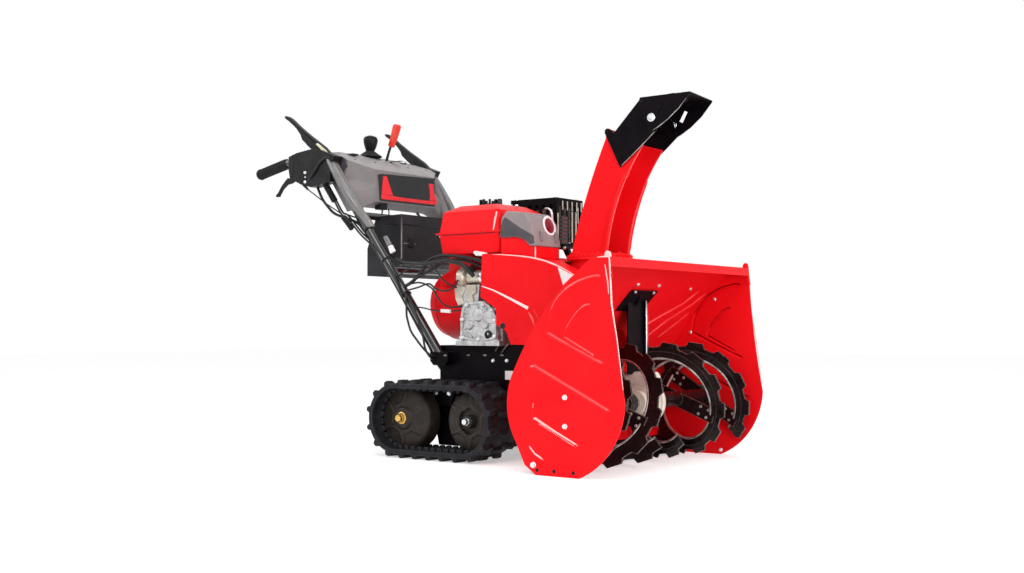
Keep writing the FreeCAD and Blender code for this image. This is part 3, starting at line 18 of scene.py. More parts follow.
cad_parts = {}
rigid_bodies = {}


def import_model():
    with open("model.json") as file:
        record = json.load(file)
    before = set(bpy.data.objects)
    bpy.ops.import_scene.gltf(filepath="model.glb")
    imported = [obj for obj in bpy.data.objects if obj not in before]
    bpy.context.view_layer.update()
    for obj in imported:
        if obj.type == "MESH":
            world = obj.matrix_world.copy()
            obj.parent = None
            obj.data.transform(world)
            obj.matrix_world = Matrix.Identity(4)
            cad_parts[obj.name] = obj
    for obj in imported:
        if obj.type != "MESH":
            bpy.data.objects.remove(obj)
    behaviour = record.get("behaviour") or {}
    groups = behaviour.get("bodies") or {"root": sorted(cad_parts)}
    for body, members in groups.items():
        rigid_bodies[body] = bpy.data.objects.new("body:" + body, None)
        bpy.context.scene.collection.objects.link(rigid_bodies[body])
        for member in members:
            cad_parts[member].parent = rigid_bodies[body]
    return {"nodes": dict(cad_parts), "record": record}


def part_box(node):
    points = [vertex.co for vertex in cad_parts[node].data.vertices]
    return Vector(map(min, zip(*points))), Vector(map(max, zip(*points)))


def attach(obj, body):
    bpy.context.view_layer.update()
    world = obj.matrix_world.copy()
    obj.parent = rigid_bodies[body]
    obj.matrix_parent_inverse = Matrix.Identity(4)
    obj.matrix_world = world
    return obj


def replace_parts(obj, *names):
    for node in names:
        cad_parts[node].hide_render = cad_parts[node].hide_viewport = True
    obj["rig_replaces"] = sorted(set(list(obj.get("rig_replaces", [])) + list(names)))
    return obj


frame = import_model()


def short(vector, digits=3):
    """The numbers of a vector, rounded to be read."""
    return [round(v, digits) for v in vector]


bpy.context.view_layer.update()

# %% [markdown]
# ## Camera and studio
# A product picture of a machine like this is taken from low down, in front of its right side,
# with a moderately long lens so that the wide housing doesn't balloon. A pale floor and a pale
# world could be lit until they burn out, but that would also wash out the paint. Here the camera
# sees them at a fixed white, through the Light Path node, while the lamps stay at a plain level.

# %% Camera
LENS = 43.63
EYE = Vector((2.514, -3.161, 0.4065))
HEADING = math.radians(37.12)
RISE = math.radians(1.84)
camera_data = bpy.data.cameras.new("ProductCamera")
camera_data.lens = LENS
camera_data.sensor_width = 36.0
camera = bpy.data.objects.new("ProductCamera", camera_data)
look = Vector((-math.sin(HEADING) * math.cos(RISE), math.cos(HEADING) * math.cos(RISE), math.sin(RISE)))
camera.location = EYE
camera.rotation_euler = look.to_track_quat("-Z", "Y").to_euler()
bpy.context.scene.collection.objects.link(camera)
bpy.context.scene.camera = camera
bpy.context.scene.view_settings.view_transform = "Standard"
print("camera", round(EYE.length, 2), "m from the middle of the machine")


# %% Soft boxes
def soft_box(name, place, target, size, power):
    """A square area lamp that faces a point."""
    data = bpy.data.lights.new(name, "AREA")
    data.shape = "RECTANGLE"
    data.size, data.size_y = size
    data.energy = power
    lamp = bpy.data.objects.new(name, data)
    lamp.location = place
    lamp.rotation_euler = (Vector(target) - Vector(place)).to_track_quat("-Z", "Y").to_euler()
    bpy.context.scene.collection.objects.link(lamp)
    return lamp


MIDDLE = (0.0, 0.0, 0.5)
soft_box("KeyBox", (1.4, -3.4, 3.0), MIDDLE, (2.6, 1.6), 55)
soft_box("FrontBox", (3.8, -0.6, 1.9), (0.4, 0.0, 0.5), (2.0, 1.6), 42)
soft_box("MouthBox", (3.4, -1.5, 0.75), (0.5, 0.1, 0.3), (1.4, 0.8), 30)
soft_box("RearBox", (-2.8, -2.4, 2.2), (-0.2, 0.0, 0.6), (1.6, 1.2), 20)
soft_box("TopBox", (0.0, 0.3, 3.6), MIDDLE, (3.0, 2.4), 22)

# %% Adding nodes
def feed(tree, node, inputs):
    """Link each named input of a node to a socket, or set it to a value."""
    for key, value in inputs.items():
        if isinstance(value, bpy.types.NodeSocket):
            tree.links.new(value, node.inputs[key])
        else:
            node.inputs[key].default_value = value


def add_node(tree, kind, inputs=(), **settings):
    """Add a node with its settings and inputs, and return its outputs."""
    made = tree.nodes.new(kind)
    for key, value in settings.items():
        setattr(made, key, value)
    feed(tree, made, dict(inputs))
    return made.outputs


# %% Floor and world
def white_for_view(tree, strength_in, colour_in, level, seen):
    """Show one colour to the camera and to glossy and clear surfaces, and another level to the rest."""
    path = add_node(tree, "ShaderNodeLightPath")
    either = add_node(tree, "ShaderNodeMath", {0: path["Is Camera Ray"], 1: path["Is Glossy Ray"]},
        operation="MAXIMUM")
    every = add_node(tree, "ShaderNodeMath", {0: either[0], 1: path["Is Transmission Ray"]},
        operation="MAXIMUM")
    chosen = add_node(tree, "ShaderNodeMapRange", {"Value": every[0], "To Min": level, "To Max": seen})
    tree.links.new(chosen[0], strength_in)
    colour_in.default_value = (1.0, 1.0, 1.0, 1.0)


world = bpy.data.worlds.new("PaleStudio")
world.use_nodes = True
bpy.context.scene.world = world
sky = world.node_tree.nodes["Background"]
white_for_view(world.node_tree, sky.inputs["Strength"], sky.inputs["Color"], 0.6, 1.0)

floor_mesh = bpy.data.meshes.new("Floor")
FLOOR_HALF = 14.0
floor_mesh.from_pydata([(-FLOOR_HALF, -FLOOR_HALF, 0), (FLOOR_HALF, -FLOOR_HALF, 0),
    (FLOOR_HALF, FLOOR_HALF, 0), (-FLOOR_HALF, FLOOR_HALF, 0)], [], [(0, 1, 2, 3)])
floor = bpy.data.objects.new("Floor", floor_mesh)
bpy.context.scene.collection.objects.link(floor)
floor_paint = bpy.data.materials.new("FloorPaint")
floor_paint.use_nodes = True
floor_tree = floor_paint.node_tree
matt = floor_tree.nodes["Principled BSDF"]
feed(floor_tree, matt, {"Base Color": (0.9, 0.9, 0.9, 1.0), "Roughness": 0.9, "Specular IOR Level": 0.1})
glow = floor_tree.nodes.new("ShaderNodeEmission")
white_for_view(floor_tree, glow.inputs["Strength"], glow.inputs["Color"], 0.0, 0.42)
both = add_node(floor_tree, "ShaderNodeAddShader", {0: matt.outputs[0], 1: glow.outputs[0]})
feed(floor_tree, floor_tree.nodes["Material Output"], {"Surface": both[0]})
floor.data.materials.append(floor_paint)
print("floor", 2.0 * FLOOR_HALF, "m wide")

# %% [markdown]
# ## Finishes
# Paint, cast metal, moulded plastic and rubber are told apart by four things: how the colour
# drifts over a hand's width, how fine the grain is, how sharp the shine is, and what the edges
# look like. One helper builds all of them from nodes, with the numbers of each finish beside its
# name, so that they can be compared. Every pattern reads Object coordinates, in metres.

# %% Finish helper
MM = 0.001


def finish(name, dark, light, drift, rough, grain, bump, metal=0.0, coat=0.0, edge=None, cells=False,
        gloss=0.5):
    """A procedural finish: drifting colour, grain bump, uneven shine and optional pale edges, which on the
    red finishes are a painted edge highlight.

    drift and grain are sizes in millimetres, bump a depth in millimetres, rough a pair."""
    material = bpy.data.materials.new(name)
    material.use_nodes = True
    tree = material.node_tree
    place = add_node(tree, "ShaderNodeTexCoord")["Object"]

    def noise(size, detail, roughness=0.5):
        return add_node(tree, "ShaderNodeTexNoise", {"Vector": place, "Scale": 1.0 / (size * MM),
            "Detail": detail, "Roughness": roughness})["Fac"]

    ramp = tree.nodes.new("ShaderNodeValToRGB")
    feed(tree, ramp, {"Fac": noise(drift, 4.0, 0.6)})
    for stop, position, shade in zip(ramp.color_ramp.elements, (0.32, 0.68), (dark, light)):
        stop.position = position
        stop.color = (*shade, 1.0)
    colour = ramp.outputs["Color"]
    shine = add_node(tree, "ShaderNodeMapRange", {"Value": noise(drift * 0.4, 6.0, 0.7), "From Min": 0.3,
        "From Max": 0.7, "To Min": rough[0], "To Max": rough[1]})
    if cells:
        height = add_node(tree, "ShaderNodeTexVoronoi",
            {"Vector": place, "Scale": 1.0 / (grain * MM)})["Distance"]
    else:
        height = noise(grain, 3.0)
    relief = add_node(tree, "ShaderNodeBump", {"Strength": 1.0, "Distance": bump * MM, "Height": height})

    if edge:
        edge_colour, edge_size, edge_share = edge
        blunt = add_node(tree, "ShaderNodeBevel", {"Radius": edge_size * MM}, samples=4)
        surface = add_node(tree, "ShaderNodeNewGeometry")
        facing = add_node(tree, "ShaderNodeVectorMath", {0: blunt["Normal"], 1: surface["Normal"]},
            operation="DOT_PRODUCT")
        # How much of the pale edge colour a place takes; on the red finishes this is a painted edge
        # highlight.
        pale_edge = add_node(tree, "ShaderNodeMapRange", {"Value": facing["Value"], "From Min": 0.99,
            "From Max": 0.86, "To Max": edge_share})
        patchy = add_node(tree, "ShaderNodeMath", {0: pale_edge["Result"], 1: noise(drift * 0.25, 5.0, 0.75)},
            operation="MULTIPLY")
        colour = add_node(tree, "ShaderNodeMix", {0: patchy[0], 6: colour, 7: (*edge_colour, 1.0)},
            data_type="RGBA")[2]

    feed(tree, tree.nodes["Principled BSDF"], {"Base Color": colour, "Roughness": shine["Result"],
        "Normal": relief["Normal"], "Metallic": metal, "Coat Weight": coat, "Coat Roughness": 0.06,
        "Specular IOR Level": gloss})
    return material


# %% The finishes of this machine
# The pale pink edge colour of the red paint is a painted edge highlight.
PAINT_RED = finish("PaintRed", (0.83, 0.005, 0.010), (0.90, 0.009, 0.014), 140, (0.30, 0.40), 3.0, 0.008,
    edge=((1.0, 0.20, 0.20), 1.6, 0.45), gloss=0.10)
# A lighter red under a clear coat: the coat's shine is real, and its lighter colour is a painted highlight
# on beads, steps and fold lines.
PAINTED_RED_HIGHLIGHT = finish("PaintGloss", (0.88, 0.03, 0.035), (0.95, 0.06, 0.06), 60, (0.16, 0.24), 3.0, 0.006,
    coat=0.8, gloss=0.3)
# A pale pink painted highlight under a clear coat, laid on bead flanks, edges and corner lines where light
# catches them.
PAINTED_PINK_HIGHLIGHT = finish("PaintCrest", (0.93, 0.42, 0.40), (1.0, 0.62, 0.60), 50, (0.14, 0.22), 3.0, 0.006,
    coat=1.0, gloss=0.5)
# The pale pink edge colour of the red moulding is a painted edge highlight.
MOULDED_RED = finish("MouldedRed", (0.81, 0.005, 0.010), (0.88, 0.009, 0.014), 90, (0.36, 0.48), 1.6, 0.012,
    edge=((1.0, 0.16, 0.16), 1.4, 0.40), gloss=0.10)
PAINT_BLACK = finish("PaintBlack", (0.0030, 0.0022, 0.0032), (0.0065, 0.0045, 0.0065), 60, (0.30, 0.45),
    0.9, 0.02, edge=((0.11, 0.105, 0.12), 1.2, 0.8), gloss=0.045)
AUGER_ENAMEL = finish("AugerEnamel", (0.007, 0.003, 0.003), (0.016, 0.007, 0.008), 45, (0.16, 0.32), 1.4,
    0.04, edge=((0.62, 0.56, 0.50), 1.5, 1.1), gloss=0.22)
WORN_STEEL = finish("WornSteel", (0.16, 0.15, 0.14), (0.55, 0.52, 0.49), 26, (0.22, 0.40), 0.8, 0.03,
    metal=0.5)
CREAM_CAST = finish("CreamCast", (0.56, 0.49, 0.41), (0.78, 0.71, 0.62), 20, (0.32, 0.5), 1.0, 0.12,
    edge=((0.95, 0.92, 0.86), 1.4, 0.6), gloss=0.4)
TRACK_RUBBER = finish("TrackRubber", (0.009, 0.009, 0.011), (0.024, 0.023, 0.028), 28, (0.50, 0.75), 0.6,
    0.10, edge=((0.16, 0.15, 0.18), 1.8, 0.9), gloss=0.18)
WHEEL_MOULDING = finish("WheelMoulding", (0.020, 0.015, 0.012), (0.038, 0.030, 0.025), 34, (0.32, 0.52),
    0.7, 0.05, edge=((0.17, 0.15, 0.13), 1.8, 0.9), gloss=0.2)
BLACK_MOULDING = finish("BlackMoulding", (0.007, 0.007, 0.008), (0.017, 0.017, 0.019), 40, (0.34, 0.50),
    0.9, 0.04, edge=((0.13, 0.13, 0.14), 1.3, 0.8), cells=True, gloss=0.13)
GRAY_MOULDING = finish("GrayMoulding", (0.175, 0.162, 0.165), (0.235, 0.220, 0.222), 70, (0.45, 0.6), 1.0,
    0.05, edge=((0.42, 0.41, 0.42), 1.6, 0.6), cells=True, gloss=0.25)
BATTERY_CASE = finish("BatteryCase", (0.012, 0.011, 0.014), (0.024, 0.022, 0.027), 60, (0.42, 0.6), 0.8,
    0.04, edge=((0.12, 0.12, 0.13), 1.6, 0.7), cells=True, gloss=0.2)
CAST_ALLOY = finish("CastAlloy", (0.34, 0.34, 0.345), (0.62, 0.62, 0.625), 18, (0.36, 0.6), 0.9, 0.20,
    metal=0.75, edge=((0.95, 0.95, 0.95), 1.4, 0.8))
STARTER_ALLOY = finish("StarterAlloy", (0.42, 0.37, 0.30), (0.68, 0.62, 0.53), 30, (0.3, 0.5), 1.0, 0.08,
    metal=0.8, edge=((0.95, 0.93, 0.88), 1.2, 0.6))
BRIGHT_ZINC = finish("BrightZinc", (0.62, 0.64, 0.66), (0.86, 0.88, 0.9), 9, (0.2, 0.36), 0.5, 0.02,
    metal=0.9, edge=((1.0, 1.0, 1.0), 0.6, 0.4))
YELLOW_ZINC = finish("YellowZinc", (0.58, 0.34, 0.07), (0.86, 0.58, 0.18), 8, (0.22, 0.38), 0.5, 0.02,
    metal=0.8, edge=((1.0, 0.85, 0.45), 0.6, 0.4))
SHAFT_STEEL = finish("ShaftSteel", (0.36, 0.36, 0.37), (0.60, 0.60, 0.61), 12, (0.25, 0.42), 0.4, 0.02,
    metal=0.9)
HOT_STEEL = finish("HotSteel", (0.10, 0.080, 0.070), (0.26, 0.22, 0.20), 24, (0.35, 0.6), 0.7, 0.05,
    metal=0.8)
GRIP_RUBBER = finish("GripRubber", (0.008, 0.008, 0.009), (0.017, 0.017, 0.018), 20, (0.50, 0.70), 0.5,
    0.06, gloss=0.2)
GLOSS_BLACK = finish("GlossBlack", (0.004, 0.004, 0.005), (0.008, 0.008, 0.009), 40, (0.10, 0.18), 1.5,
    0.006, gloss=0.35)
LEVER_RED = finish("LeverRed", (0.78, 0.028, 0.010), (0.90, 0.055, 0.018), 25, (0.25, 0.38), 0.8, 0.02,
    gloss=0.3)
CABLE_SHEATH = finish("CableSheath", (0.006, 0.006, 0.007), (0.015, 0.015, 0.016), 16, (0.22, 0.40), 0.5,
    0.02, gloss=0.3)
# White for pale plastic parts, the blank plate and triangle, and for the belt cover's crease strip, where it
# is a painted highlight.
WHITE_AND_PAINTED_HIGHLIGHT = finish("WhitePrint", (0.78, 0.76, 0.77), (0.9, 0.88, 0.89), 30, (0.35, 0.5), 0.8, 0.01,
    gloss=0.3)
TAG_CREAM = finish("TagCream", (0.80, 0.74, 0.50), (0.90, 0.84, 0.60), 14, (0.35, 0.5), 0.8, 0.01,
    gloss=0.3)
print("finishes", len([m for m in bpy.data.materials if m.use_nodes]))

# %% [markdown]
# ## Edges that catch light
# CAD solids have knife edges, and real sheet metal, castings and mouldings never do: the thin
# bright line along a fold is half of what makes a render look real. A copy of each CAD part is
# welded, its flat faces joined again, and a Bevel modifier rounds every edge sharper than a limit.
# The copy stands for the CAD part, in the same place and with the same size.

# %% Which body each part rides on
SIDES = ((-1, "right"), (1, "left"))
UP, DOWN = (0, 0, 1), (0, 0, -1)
AHEAD, BACK = (1, 0, 0), (-1, 0, 0)
LEFT, RIGHT = (0, 1, 0), (0, -1, 0)
SMOOTH_UNDER = math.radians(38)
WELD_GAP = 0.00002
FLAT_WITHIN = math.radians(0.6)
BODY_OF = {node: body for body, nodes in frame["record"]["behaviour"]["bodies"].items() for node in nodes}


def settle(thing, material, body, stands_for=()):
    """Give a finished piece its finish (or several, kept by face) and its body."""
    finishes = list(material) if isinstance(material, (list, tuple)) else [material]
    places = [min(face.material_index, len(finishes) - 1) for face in thing.data.polygons]
    thing.data.materials.clear()
    for item in finishes:
        thing.data.materials.append(item)
    thing.data.polygons.foreach_set("material_index", places)
    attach(thing, body)
    if stands_for:
        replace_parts(thing, *stands_for)
    return thing


def plain_mesh(thing, name):
    """The evaluated object as a plain mesh object, with its modifiers used up."""
    graph = bpy.context.evaluated_depsgraph_get()
    graph.update()
    mesh = bpy.data.meshes.new_from_object(thing.evaluated_get(graph))
    mesh.name = name
    made = bpy.data.objects.new(name, mesh)
    bpy.context.scene.collection.objects.link(made)
    data = thing.data
    bpy.data.objects.remove(thing)
    if data.users == 0 and isinstance(data, bpy.types.Mesh):
        bpy.data.meshes.remove(data)
    return made


def rounded(thing, width, segments=2, limit=30.0):
    """Round every edge sharper than the limit, and shade the rest smooth."""
    name = thing.name
    bevel = thing.modifiers.new("Rounding", "BEVEL")
    bevel.limit_method = "ANGLE"
    bevel.angle_limit = math.radians(limit)
    bevel.width = width * MM
    bevel.segments = segments
    bevel.use_clamp_overlap = True
    level = thing.modifiers.new("FlatStaysFlat", "WEIGHTED_NORMAL")
    level.mode = "FACE_AREA"
    level.weight = 90
    level.keep_sharp = True
    thing.data.shade_smooth()
    thing.name = name + "_raw"
    return plain_mesh(thing, name)


def from_build(build, name, shown=True):
    """A new object from a bmesh, linked to the scene if it is to be shown."""
    mesh = bpy.data.meshes.new(name)
    build.to_mesh(mesh)
    build.free()
    made = bpy.data.objects.new(name, mesh)
    if shown:
        bpy.context.scene.collection.objects.link(made)
    return made


def welded(node):
    """A CAD node's loose triangles as one bmesh, with its flat faces joined again."""
    build = bmesh.new()
    build.from_mesh(frame["nodes"][node].data)
    bmesh.ops.remove_doubles(build, verts=build.verts, dist=WELD_GAP)
    bmesh.ops.dissolve_limit(build, angle_limit=FLAT_WITHIN, verts=build.verts, edges=build.edges)
    return build


def softened(node, material, width=1.2, segments=2, limit=30.0):
    """A rounded copy that stands for a CAD node."""
    made = rounded(from_build(welded(node), node + "_soft"), width, segments, limit)
    return settle(made, material, BODY_OF[node], [node])


print("parts with a body and a slot", len(BODY_OF))

# %% Finish and edge radius of each CAD part
DRESS = {"track_frame": (PAINT_BLACK, 1.2), "main_frame": (PAINT_BLACK, 1.5),
    "transmission": (PAINT_BLACK, 2.0), "auger_housing": (PAINT_RED, 1.2),
    "side_plate_left": (PAINT_RED, 1.2), "side_plate_right": (PAINT_RED, 1.2),
    "scraper_bar": (PAINT_BLACK, 1.0), "auger_bearings": (SHAFT_STEEL, 0.8),
    "blower_drum": (PAINT_RED, 1.0), "auger_gearbox": (CREAM_CAST, 2.5), "gearbox_stay": (PAINT_BLACK, 1.0),
    "auger_left": (AUGER_ENAMEL, 0.8), "auger_right": (AUGER_ENAMEL, 0.8),
    "auger_shaft": (SHAFT_STEEL, 0.8), "impeller": (AUGER_ENAMEL, 1.0),
    "impeller_shaft": (SHAFT_STEEL, 0.6), "chute": (PAINT_RED, 1.0), "chute_ring": (MOULDED_RED, 0.8),
    "lower_guide": (PAINT_BLACK, 0.9), "upper_guide": (PAINT_BLACK, 0.9), "engine_block": (CAST_ALLOY, 3.0),
    "fan_shroud": (PAINT_RED, 4.0), "recoil_starter": (PAINT_RED, 3.0),
    "starter_motor": (STARTER_ALLOY, 1.5), "cylinder_head": (CAST_ALLOY, 0.8),
    "fuel_tank": (PAINT_RED, 2.0), "air_cleaner_cover": (GRAY_MOULDING, 4.0),
    "air_cleaner_base": (MOULDED_RED, 3.0), "muffler": (HOT_STEEL, 1.0),
    "muffler_guard": (PAINT_BLACK, 0.8), "belt_cover": (MOULDED_RED, 1.8), "handlebars": (PAINT_BLACK, 0.5),
    "handle_grips": (GRIP_RUBBER, 2.5), "lever_brackets": (BLACK_MOULDING, 2.0),
    "battery_box": (BATTERY_CASE, 4.0), "console": (GRAY_MOULDING, 5.0),
    "console_plate": (GLOSS_BLACK, 1.2), "chute_joystick": (BLACK_MOULDING, 1.2),
    "control_cables": (CABLE_SHEATH, 0.4), "track_left": (TRACK_RUBBER, 1.0),
    "track_right": (TRACK_RUBBER, 1.0), "idler_wheels": (WHEEL_MOULDING, 1.0),
    "drive_wheels": (WHEEL_MOULDING, 1.0)}
print("parts in the table", len(DRESS))

# %% [markdown]
# ## Two tools for what repeats and what follows a line
# Pressed ribs, hoses, rails and piping all follow a line, and bolts, lugs and studs repeat. Both
# jobs suit Geometry Nodes. The first tree sweeps a small profile along guide lines, which carry
# their own thickness and the way they face. The second tree sets copies of one small piece on
# points, which carry the way they face and a size, with a seeded turn so that bolt heads don't
# all line up.

# %% Small helpers for building node trees
def new_tree(name, inputs):
    """An empty Geometry Nodes tree with named inputs: (name, socket type) pairs."""
    tree = bpy.data.node_groups.new(name, "GeometryNodeTree")
    tree.interface.new_socket("Geometry", in_out="INPUT", socket_type="NodeSocketGeometry")
    for label, kind in inputs:
        tree.interface.new_socket(label, in_out="INPUT", socket_type=kind)
    tree.interface.new_socket("Geometry", in_out="OUTPUT", socket_type="NodeSocketGeometry")
    return tree, add_node(tree, "NodeGroupInput"), tree.nodes.new("NodeGroupOutput")


def named_field(tree, label, kind):
    """A node that reads one named attribute of the guide mesh."""
    return add_node(tree, "GeometryNodeInputNamedAttribute", {"Name": label}, data_type=kind)["Attribute"]


def run_tree(guide, tree, values):
    """Run a node tree on a guide mesh, and return the result as a plain mesh object."""
    modifier = guide.modifiers.new(tree.name, "NODES")
    modifier.node_group = tree
    for item in tree.interface.items_tree:
        if item.in_out == "INPUT" and item.name in values:
            modifier[item.identifier] = values[item.name]
    name = guide.name
    guide.name = name + "_guide"
    return plain_mesh(guide, name)


def guide_mesh(name, spots, edges, fields):
    """A guide object with per-point attributes: {name: (type, list of values)}."""
    mesh = bpy.data.meshes.new(name)
    mesh.from_pydata(spots, edges, [])
    for label, (kind, values) in fields.items():
        attribute = mesh.attributes.new(label, kind, "POINT")
        key = "vector" if kind == "FLOAT_VECTOR" else "value"
        for index, value in enumerate(values):
            setattr(attribute.data[index], key, value)
    made = bpy.data.objects.new(name, mesh)
    bpy.context.scene.collection.objects.link(made)
    return made


# %% The sweeping tree
SWEEP, sweep_in, sweep_out = new_tree("SweepProfile", [("Profile", "NodeSocketObject"),
    ("Step", "NodeSocketFloat"), ("Curved", "NodeSocketBool"), ("Material", "NodeSocketMaterial")])
line = add_node(SWEEP, "GeometryNodeMeshToCurve", {"Mesh": sweep_in["Geometry"]})
smooth_line = add_node(SWEEP, "GeometryNodeCurveSplineType", {"Curve": line["Curve"]},
    spline_type="CATMULL_ROM")
even = add_node(SWEEP, "GeometryNodeResampleCurve", {"Curve": smooth_line["Curve"],
    "Length": sweep_in["Step"]}, mode="LENGTH")
choose = add_node(SWEEP, "GeometryNodeSwitch", {"Switch": sweep_in["Curved"], "False": line["Curve"],
    "True": even["Curve"]}, input_type="GEOMETRY")
turned = add_node(SWEEP, "GeometryNodeSetCurveNormal", {"Curve": choose[0],
    "Normal": named_field(SWEEP, "facing", "FLOAT_VECTOR")}, mode="FREE")
section = add_node(SWEEP, "GeometryNodeObjectInfo", {"Object": sweep_in["Profile"]})
section_line = add_node(SWEEP, "GeometryNodeMeshToCurve", {"Mesh": section["Geometry"]})
swept = add_node(SWEEP, "GeometryNodeCurveToMesh", {"Curve": turned["Curve"],
    "Scale": named_field(SWEEP, "thickness", "FLOAT"), "Profile Curve": section_line["Curve"],
    "Fill Caps": True})
solid = add_node(SWEEP, "GeometryNodeRealizeInstances", {"Geometry": swept["Mesh"]})
painted = add_node(SWEEP, "GeometryNodeSetMaterial", {"Geometry": solid["Geometry"],
    "Material": sweep_in["Material"]})
feed(SWEEP, sweep_out, {"Geometry": painted["Geometry"]})
print("sweep tree nodes", len(SWEEP.nodes))

# %% The copying tree
COPIES, copies_in, copies_out = new_tree("PlaceCopies", [("Piece", "NodeSocketObject"),
    ("Spin", "NodeSocketFloat"), ("Seed", "NodeSocketInt"), ("Material", "NodeSocketMaterial")])
points = add_node(COPIES, "GeometryNodeMeshToPoints", {"Mesh": copies_in["Geometry"]})
piece = add_node(COPIES, "GeometryNodeObjectInfo", {"Object": copies_in["Piece"]})
frame_turn = add_node(COPIES, "FunctionNodeAxesToRotation",
    {"Primary Axis": named_field(COPIES, "facing", "FLOAT_VECTOR"),
    "Secondary Axis": named_field(COPIES, "along", "FLOAT_VECTOR")}, primary_axis="Z", secondary_axis="X")
chance = COPIES.nodes.new("FunctionNodeRandomValue")
chance.data_type = "FLOAT"
COPIES.links.new(copies_in["Spin"], next(s for s in chance.inputs if s.name == "Max" and s.type == "VALUE"))
COPIES.links.new(copies_in["Seed"], chance.inputs["Seed"])
spin_vector = add_node(COPIES, "ShaderNodeCombineXYZ", {"Z": next(s for s in chance.outputs
    if s.type == "VALUE")})
spin = add_node(COPIES, "FunctionNodeEulerToRotation", {0: spin_vector[0]})
both_turns = add_node(COPIES, "FunctionNodeRotateRotation", {"Rotation": frame_turn[0],
    "Rotate By": spin[0]}, rotation_space="LOCAL")
put = add_node(COPIES, "GeometryNodeInstanceOnPoints", {"Points": points[0], "Instance": piece["Geometry"],
    "Rotation": both_turns[0], "Scale": named_field(COPIES, "size", "FLOAT_VECTOR")})
solid = add_node(COPIES, "GeometryNodeRealizeInstances", {"Geometry": put["Instances"]})
painted = add_node(COPIES, "GeometryNodeSetMaterial", {"Geometry": solid["Geometry"],
    "Material": copies_in["Material"]})
feed(COPIES, copies_out, {"Geometry": painted["Geometry"]})
print("copying tree nodes", len(COPIES.nodes))


# %% Profiles to sweep
TINY_GAP = 0.000005


def outline_mesh(name, outline, closed=True):
    """A small guide object: a line in its own XY plane, X away from the surface and Y across."""
    mesh = bpy.data.meshes.new(name)
    edges = [(i, i + 1) for i in range(len(outline) - 1)] + ([(len(outline) - 1, 0)] if closed else [])
    mesh.from_pydata([(x, y, 0.0) for x, y in outline], edges, [])
    return bpy.data.objects.new(name, mesh)


def ring_points(count, radius=1.0, start=0.0):
    """Points round a circle."""
    turn = 2.0 * math.pi / count
    return [(radius * math.cos(start + turn * i), radius * math.sin(start + turn * i))
        for i in range(count)]


ROUND = outline_mesh("RoundProfile", ring_points(12))
ROUND_FINE = outline_mesh("RoundFineProfile", ring_points(20))
PRESSED_HEIGHT = 0.34
PRESSED = outline_mesh("PressedProfile",
    [(PRESSED_HEIGHT * (0.5 + 0.5 * math.cos(math.pi * (i / 5.0 - 1.0))) - 0.004, i / 5.0 - 1.0)
    for i in range(11)], closed=False)
FOLD = outline_mesh("FoldProfile", [(-0.3, -1.0), (0.75, -1.0), (1.0, -0.75), (1.0, 0.75), (0.75, 1.0),
    (-0.3, 1.0)])


def sweep(name, lines, profile, material, step=4.0, curved=False, loop=False, body="machine",
        stands_for=()):
    """Sweep a profile along lines, each (points in mm, thickness in mm or a list, facing)."""
    spots, edges, sizes, ways = [], [], [], []
    for points_mm, thickness, facing in lines:
        first = len(spots)
        count = len(points_mm)
        spots += [tuple(v * MM for v in point) for point in points_mm]
        edges += [(first + i, first + i + 1) for i in range(count - 1)]
        edges += [(first + count - 1, first)] if loop else []
        sizes += [t * MM for t in (thickness if isinstance(thickness, (list, tuple))
            else [thickness] * count)]
        ways += list(facing) if isinstance(facing[0], (list, tuple, Vector)) else [facing] * count
    guide = guide_mesh(name, spots, edges, {"thickness": ("FLOAT", sizes),
        "facing": ("FLOAT_VECTOR", ways)})
    made = run_tree(guide, SWEEP, {"Profile": profile, "Step": step * MM, "Curved": curved,
        "Material": material})
    made = face_along(made, Vector(ways[0])) if profile is PRESSED else face_outward(made)
    return settle(made, material, body, stands_for)


def face_along(thing, way):
    """Turn an open strip so that its first face looks the given way."""
    if thing.data.polygons[0].normal.dot(way) < 0.0:
        thing.data.flip_normals()
    thing.data.shade_smooth()
    return thing


def face_outward(thing):
    """Close tiny gaps and turn every face outward, then shade by angle."""
    build = bmesh.new()
    build.from_mesh(thing.data)
    bmesh.ops.remove_doubles(build, verts=build.verts, dist=TINY_GAP)
    bmesh.ops.recalc_face_normals(build, faces=build.faces)
    build.to_mesh(thing.data)
    build.free()
    thing.data.shade_smooth()
    thing.data.set_sharp_from_angle(angle=SMOOTH_UNDER)
    return thing


def place_copies(name, piece_object, spots, material, spin=6.2, seed=3, body="machine",
        stands_for=()):
    """Set copies of a piece on spots, each (point in mm, facing, size, along)."""
    places = [tuple(v * MM for v in spot[0]) for spot in spots]
    sizes = [spot[2] if isinstance(spot[2], (list, tuple)) else (spot[2],) * 3 for spot in spots]
    along = [spot[3] if len(spot) > 3 else UP for spot in spots]
    guide = guide_mesh(name, places, [], {"facing": ("FLOAT_VECTOR", [spot[1] for spot in spots]),
        "size": ("FLOAT_VECTOR", sizes), "along": ("FLOAT_VECTOR", along)})
    made = run_tree(guide, COPIES, {"Piece": piece_object, "Spin": spin, "Seed": seed,
        "Material": material})
    made.data.set_sharp_from_angle(angle=SMOOTH_UNDER)
    return settle(made, material, body, stands_for)


# %% Outlines in one plane, plates, turned parts and bolts
def on_x(x, points):
    """Points (y, z) set at one x."""
    return [(x, y, z) for y, z in points]


def on_y(y, points):
    """Points (x, z) set at one y."""
    return [(x, y, z) for x, z in points]


def on_z(z, points):
    """Points (x, y) set at one z."""
    return [(x, y, z) for x, y in points]


